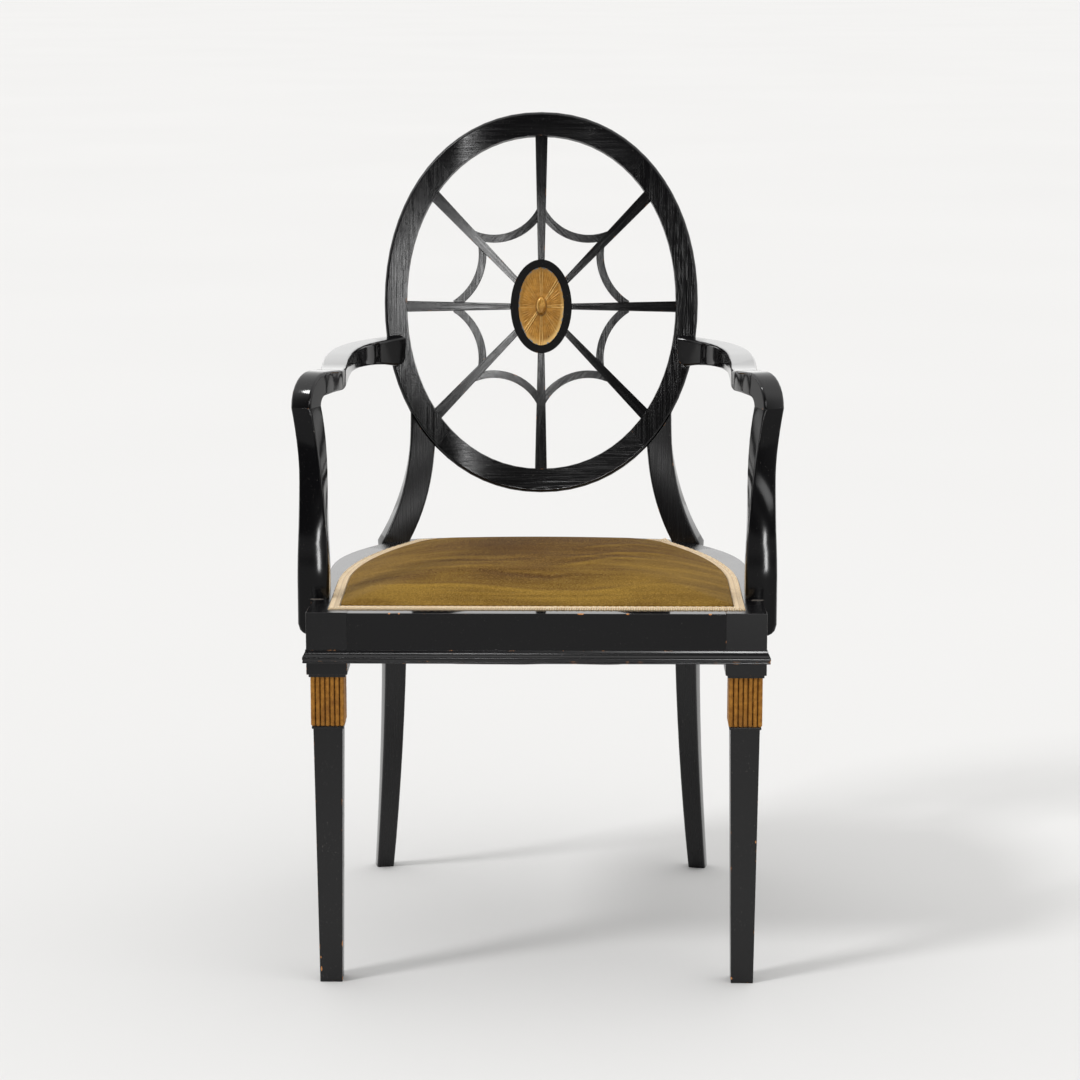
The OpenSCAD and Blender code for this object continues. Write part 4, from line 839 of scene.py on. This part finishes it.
def velvet_cushion():
    """The crowned cushion: built up in rings, filled by a cloth under pressure, then rubbed into soft folds."""
    piece = ring_of(CUSHION_POINTS, "velvet_cushion")
    lay_on(piece, evenly(outline(PAD_SHAPE, DOME_IN), CUSHION_POINTS), FLANGE_Z)
    edit(piece, "EDGE")
    bpy.ops.mesh.extrude_edges_move()
    bpy.ops.transform.translate(value=(0, 0, EDGE_RISE))
    before, level = 1.0, FLANGE_Z + EDGE_RISE
    for share in [0.994, 0.975] + [1 - i / CUSHION_RINGS for i in range(1, CUSHION_RINGS)]:
        z = crown_at(share, CROWN_Z - FILL_UP)
        draw_in(share / before, z - level)
        before, level = share, z
    close_middle()
    bpy.ops.mesh.select_all(action="DESELECT")
    bpy.ops.mesh.select_non_manifold(extend=False)
    close_middle()
    bpy.ops.mesh.select_all(action="SELECT")
    bpy.ops.mesh.remove_doubles(threshold=0.00001)
    bpy.ops.mesh.normals_make_consistent(inside=False)
    leave()
    fill_with_hair(piece)
    apply(piece, "SUBSURF", levels=2, render_levels=2)
    for vertex in piece.data.vertices:
        x, y, z = vertex.co
        high = within((z - FLANGE_Z - FOLD_FOOT) / FOLD_FULL)
        if high:
            lift = sum(rise * fold_at(x, y, width, line) for width, rise, _, line in FOLDS)
            lift += 0.0008 * noise.noise(Vector((x / 0.12, y / 0.045, 3.1)))
            vertex.co.z = z + high * lift
    # The nap mark carries brushed pile, and also painted light and shade
    mark(piece, "nap", [pile_and_painted_light_at(vertex.co.x, vertex.co.y) for vertex in piece.data.vertices])
    smooth(piece, 180)
    fit_to_chair(piece, "velvet_cushion", velvet, ["seat_cover", "stuffing"])


def fill_with_hair(piece):
    """Swells the cushion under pressure, and holds each point near its place and its foot where it was laid."""
    start = [vertex.co.copy() for vertex in piece.data.vertices]
    foot = piece.vertex_groups.new(name="foot")
    low = [i for i, co in enumerate(start) if co.z < FLANGE_Z + EDGE_RISE + 0.0002]
    foot.add(low, 1.0, "REPLACE")
    pick(piece)
    cloth = piece.modifiers.new("cloth", "CLOTH")
    cloth.settings.quality = 5
    cloth.settings.mass = 0.3
    cloth.settings.tension_stiffness = 18
    cloth.settings.compression_stiffness = 18
    cloth.settings.bending_stiffness = 1.5
    cloth.settings.use_pressure = True
    cloth.settings.uniform_pressure_force = 4.0
    cloth.settings.effector_weights.gravity = 0.0
    cloth.settings.vertex_group_mass = "foot"
    cloth.collision_settings.use_collision = False
    scene = bpy.context.scene
    for step in range(1, FILL_STEPS + 1):
        scene.frame_set(step)
    bpy.ops.object.modifier_apply(modifier=cloth.name)
    scene.frame_set(1)
    for vertex, was in zip(piece.data.vertices, start):
        move = vertex.co - was
        if move.length > MOST_MOVE:
            vertex.co = was + move * (MOST_MOVE / move.length)
        vertex.co.z = within(vertex.co.z, FLANGE_Z, CROWN_Z)


def gimp_braid():
    """Flat braid laid round the cushion from the rear right corner, mitred at the front and frayed where it ends."""
    outer, inner = outline(PAD_SHAPE, 0), outline(PAD_SHAPE, GIMP_W)
    count = len(outer)
    start = min(range(count // 2), key=lambda i: abs(outer[i].x - GIMP_START_X) + 10 * (outer[i].y < 0.05))
    rows = divided([[outer[i % count], inner[i % count]] for i in range(start, start + count + 1)], GIMP_STEP)
    piece = grid_of(len(rows) - 1, GIMP_ROWS)
    length, run = 0.0, [0.0]
    for a, b in zip(rows, rows[1:]):
        length += ((a[0] + a[1]) / 2 - (b[0] + b[1]) / 2).length
        run.append(length)
    spots = []
    for vertex in piece.data.vertices:
        i = round((vertex.co.x + 0.5) * (len(rows) - 1))
        m = vertex.co.y + 0.5
        spots.append((i, m))
        edge = max(0.0, 1 - abs(abs(m - 0.5) - 0.42) / 0.09)
        field = 0.55 + 0.14 * abs(sin(2 * pi * (run[i] / STITCH + abs(m - 0.5) * 2.0)))
        cord = edge ** 0.5 * (0.92 + 0.08 * sin(2 * pi * (run[i] / CORD_TWIST + m)))
        height = max(field * (1 if 0.05 < m < 0.95 else 0.55), cord)
        wander = 0.00025 * noise.noise(Vector((run[i] / 0.03, 0.0, 4.0)))
        point = rows[i][0].lerp(rows[i][1], m)
        out = (rows[i][0] - rows[i][1]).normalized() * wander
        loose = max(0.0, 1 - (length - run[i]) / GIMP_FRAY)
        stray = 0.002 + 0.003 * noise.noise(Vector((m * 9, 0.0, 7.0)))
        point += (rows[i][0] - rows[i - 1][0]).normalized() * loose * stray
        z = FLANGE_Z + GIMP_LIFT + GIMP_H * height + GIMP_CURL * loose ** 1.5
        vertex.co = (point.x + out.x, point.y + out.y, z)
    layer = piece.data.uv_layers["UVMap"]
    for loop in piece.data.loops:
        i, m = spots[loop.vertex_index]
        layer.data[loop.index].uv = (run[i] / STITCH, m)
    face_one_way(piece)
    if piece.data.polygons[0].normal.z < 0:
        piece.data.flip_normals()
    apply(piece, "SOLIDIFY", thickness=GIMP_THICK, offset=-1.0)
    smooth(piece, 60)
    fit_to_chair(piece, "gimp_braid", braid, ["gimp"])


def frame_cloth(name, cut, level, belly, thick, finish, node):
    """A cloth cut to a line and tacked to the frame at its edge, flat or with a belly."""
    piece = ring_of(CLOTH_POINTS, name)
    edge = evenly(cut, CLOTH_POINTS)
    lay_on(piece, edge, level)
    edit(piece, "EDGE")
    before, z = 1.0, level
    for share in [(10 - i) / 10 for i in range(1, 10)]:
        deep = level - belly * max(0.0, 1 - share * share / 0.81) ** 1.3
        draw_in(share / before, deep - z)
        before, z = share, deep
    close_middle()
    bpy.ops.mesh.select_all(action="SELECT")
    bpy.ops.mesh.normals_make_consistent(inside=False)
    leave()
    for vertex in piece.data.vertices:
        if belly and vertex.co.z < level - 0.001:
            x, y, _ = vertex.co
            vertex.co.z += 0.0016 * noise.noise(Vector((x / 0.05, y / 0.05, 2.0)))
    apply(piece, "SOLIDIFY", thickness=thick, offset=0.0)
    smooth(piece, 70)
    fit_to_chair(piece, name, finish, [node])
    area = abs(sum(a.x * b.y - b.x * a.y for a, b in zip(edge, edge[1:] + edge[:1]))) / 2


def side_reach(y):
    """Half the width that a strap has at a depth of the seat."""
    line = right_edge(PAD_SHAPE, WEB_IN, WEB_IN)
    for a, b in zip(line, line[1:]):
        if a.y <= y <= b.y:
            return a.x + (b.x - a.x) * (y - a.y) / (b.y - a.y)
    return line[0].x if y < line[0].y else 0.05


def back_reach(x):
    """Where a strap ends at the back, at a distance from the middle."""
    line = right_edge(PAD_SHAPE, WEB_IN, WEB_IN)[2:]
    found = [a.y + (b.y - a.y) * (a.x - abs(x)) / (a.x - b.x) for a, b in zip(line, line[1:]) if b.x <= abs(x) <= a.x]
    return max(found) if found else line[-1].y


def webbing_straps(across):
    """Four straps one way under the hessian, each strained flat between the rails."""
    pitch = (PAD_DEPTH if across else WEB_SPAN) / 5
    z = REBATE_Z + (WEB_OVER if across else 0.0) + 0.0006
    front = outline(PAD_SHAPE, WEB_IN)[0].y
    for i in range(4):
        place = (i - 1.5) * pitch + (PAD_MIDDLE.y if across else 0.0)
        one, other = place - WEB_W / 2, place + WEB_W / 2
        if across:
            reach = min(side_reach(one), side_reach(other))
            low, high = (-reach, one), (reach, other)
            piece = grid_of(40, 6)
        else:
            low, high = (one, front), (other, min(back_reach(one), back_reach(other)))
            piece = grid_of(6, 40)
        for vertex in piece.data.vertices:
            u, v = vertex.co.x + 0.5, vertex.co.y + 0.5
            vertex.co = (low[0] + (high[0] - low[0]) * u, low[1] + (high[1] - low[1]) * v, z)
        apply(piece, "SOLIDIFY", thickness=WEB_THICK, offset=0.0)
        node = "webbing_crosswise" if across else "webbing_lengthwise"
        fit_to_chair(piece, f"{node}_{i + 1}", webbing_cloth, [node])
        sorted((high[0] - low[0], high[1] - low[1]))


carved_patera()
oval_button()
velvet_cushion()
gimp_braid()
frame_cloth("under_canvas", outline(FRAME_SHAPE, 0.023), SEAT_H - RAIL_H - 0.00045, 0.046, 0.0009, canvas,
            "bottom_canvas")
frame_cloth("hessian_cloth", outline(PAD_SHAPE, 0.007), REBATE_Z + 0.0028, 0.0, 0.0008, hessian_cloth,
            "hessian")
webbing_straps(False)
webbing_straps(True)

# ------------------------ studio
# The last floor colour is painted shade: the floor darkens towards the camera, where the room is dim, over the depths
# given next, and the lacquer mirrors it
FLOOR_LIGHT, FLOOR_LIGHTER, FLOOR_PAINTED_SHADE = (0.722, 0.718, 0.712), (0.752, 0.748, 0.742), (0.30, 0.30, 0.30)
PAINTED_SHADE_FROM = (-2.0, -0.6)
ROOM, WHITE = (1.0, 0.998, 0.992), (0.90, 0.90, 0.90)
# The room is dim on the camera's side and below, and bright above and behind the chair
ROOM_TURN, ROOM_LEAST, ROOM_GAIN, ROOM_SHEEN = (-0.80, 0.25), 0.05, 1.10, 0.35
KEY_POWER, KEY_SPREAD, KEY_FROM = 1.1, 11, (-0.63, -0.38, 0.69)
# Each soft lamp: its place, width, height and power
SOFTBOXES = {
    "spoke_softbox": ((-0.18, -3.79, 1.51), 0.16, 0.43, 4.0),
    "ring_softbox": ((-0.47, -3.79, 1.55), 0.18, 0.26, 1.4),
    "right_softbox": ((1.45, -3.70, 1.60), 0.60, 0.80, 9),
    "post_softbox": ((0.47, -3.79, 0.46), 0.26, 0.34, 11),
}
SOFTBOXES_FACE = (0, 0, 0.75)
EYE, EYE_DOWN, EYE_LEFT, LENS = (0.0454, -3.79346, 1.2011), 10.886, 0.0117, 106.68


def studio_floor():
    bpy.ops.object.select_all(action="DESELECT")
    bpy.ops.mesh.primitive_plane_add(size=120, location=(0, 0, 0))
    floor = bpy.context.active_object
    floor.name = "studio_floor"
    f = Finish("pale_floor")
    soft = f.cloud(f.place, scale=0.6, detail=2.0)
    _, y, _ = f.parts(f.place)
    tone = f.tint(soft, FLOOR_LIGHT, FLOOR_LIGHTER)
    # Painted shade: darker towards the camera's side
    tone = f.tint((1 - y.rise(*PAINTED_SHADE_FROM)) * 0.75, tone, FLOOR_PAINTED_SHADE)
    floor.data.materials.append(f.done(Base_Color=tone, Roughness=0.6, Specular_IOR_Level=0.0))


def room_light():
    """The room lights the chair unevenly, and the camera sees plain white past the floor."""
    world = bpy.data.worlds.new("studio")
    bpy.context.scene.world = world
    w = Nodes(world)
    x, y, z = w.parts(w.add("ShaderNodeTexCoord", output="Generated"))
    sheen = w.add("ShaderNodeLightPath", output="Is Glossy Ray")
    seen = w.add("ShaderNodeLightPath", output="Is Camera Ray")
    bright = (x * 0.22 + (z * 0.6 + y)).rise(*ROOM_TURN) * ROOM_GAIN + ROOM_LEAST
    room = w.add("ShaderNodeBackground", {}, {"Color": colour(ROOM), "Strength": (sheen * ROOM_SHEEN + 1.0) * bright})
    white = w.add("ShaderNodeBackground", {}, {"Color": colour(WHITE), "Strength": 1.0})
    w.add("ShaderNodeOutputWorld", {}, {"Surface": w.add("ShaderNodeMixShader", {}, {0: seen, 1: room, 2: white})})


def stood(name, data, place=(0, 0, 0)):
    """A lamp or the camera, stood in the studio."""
    thing = bpy.data.objects.new(name, data)
    thing.location = place
    bpy.context.scene.collection.objects.link(thing)
    return thing


def turned_from(way):
    """The turn that points a lamp back along a way."""
    return Vector(way).to_track_quat("Z", "Y").to_euler()


def key_light():
    data = bpy.data.lights.new("key_light", "SUN")
    data.energy = KEY_POWER
    data.angle = radians(KEY_SPREAD)
    stood("key_light", data).rotation_euler = turned_from(KEY_FROM)


def softbox(name, place, wide, high, power):
    """A soft lamp that faces the chair. It only puts sheen on the lacquer, as a white card beside the camera does."""
    data = bpy.data.lights.new(name, "AREA")
    data.shape = "RECTANGLE"
    data.size, data.size_y, data.energy = wide, high, power
    lamp = stood(name, data, place)
    lamp.rotation_euler = turned_from(Vector(place) - Vector(SOFTBOXES_FACE))
    lamp.visible_camera = False
    lamp.visible_diffuse = False


def camera():
    data = bpy.data.cameras.new("camera")
    data.sensor_width = 36
    data.lens = LENS
    data.clip_end = 300
    eye = stood("camera", data, EYE)
    eye.rotation_euler = (radians(90 - EYE_DOWN), 0, EYE_LEFT)
    bpy.context.scene.camera = eye


studio_floor()
room_light()
key_light()
for name, lamp in SOFTBOXES.items():
    softbox(name, *lamp)
camera()
bpy.context.scene.view_settings.view_transform = "Standard"
bpy.context.view_layer.update()
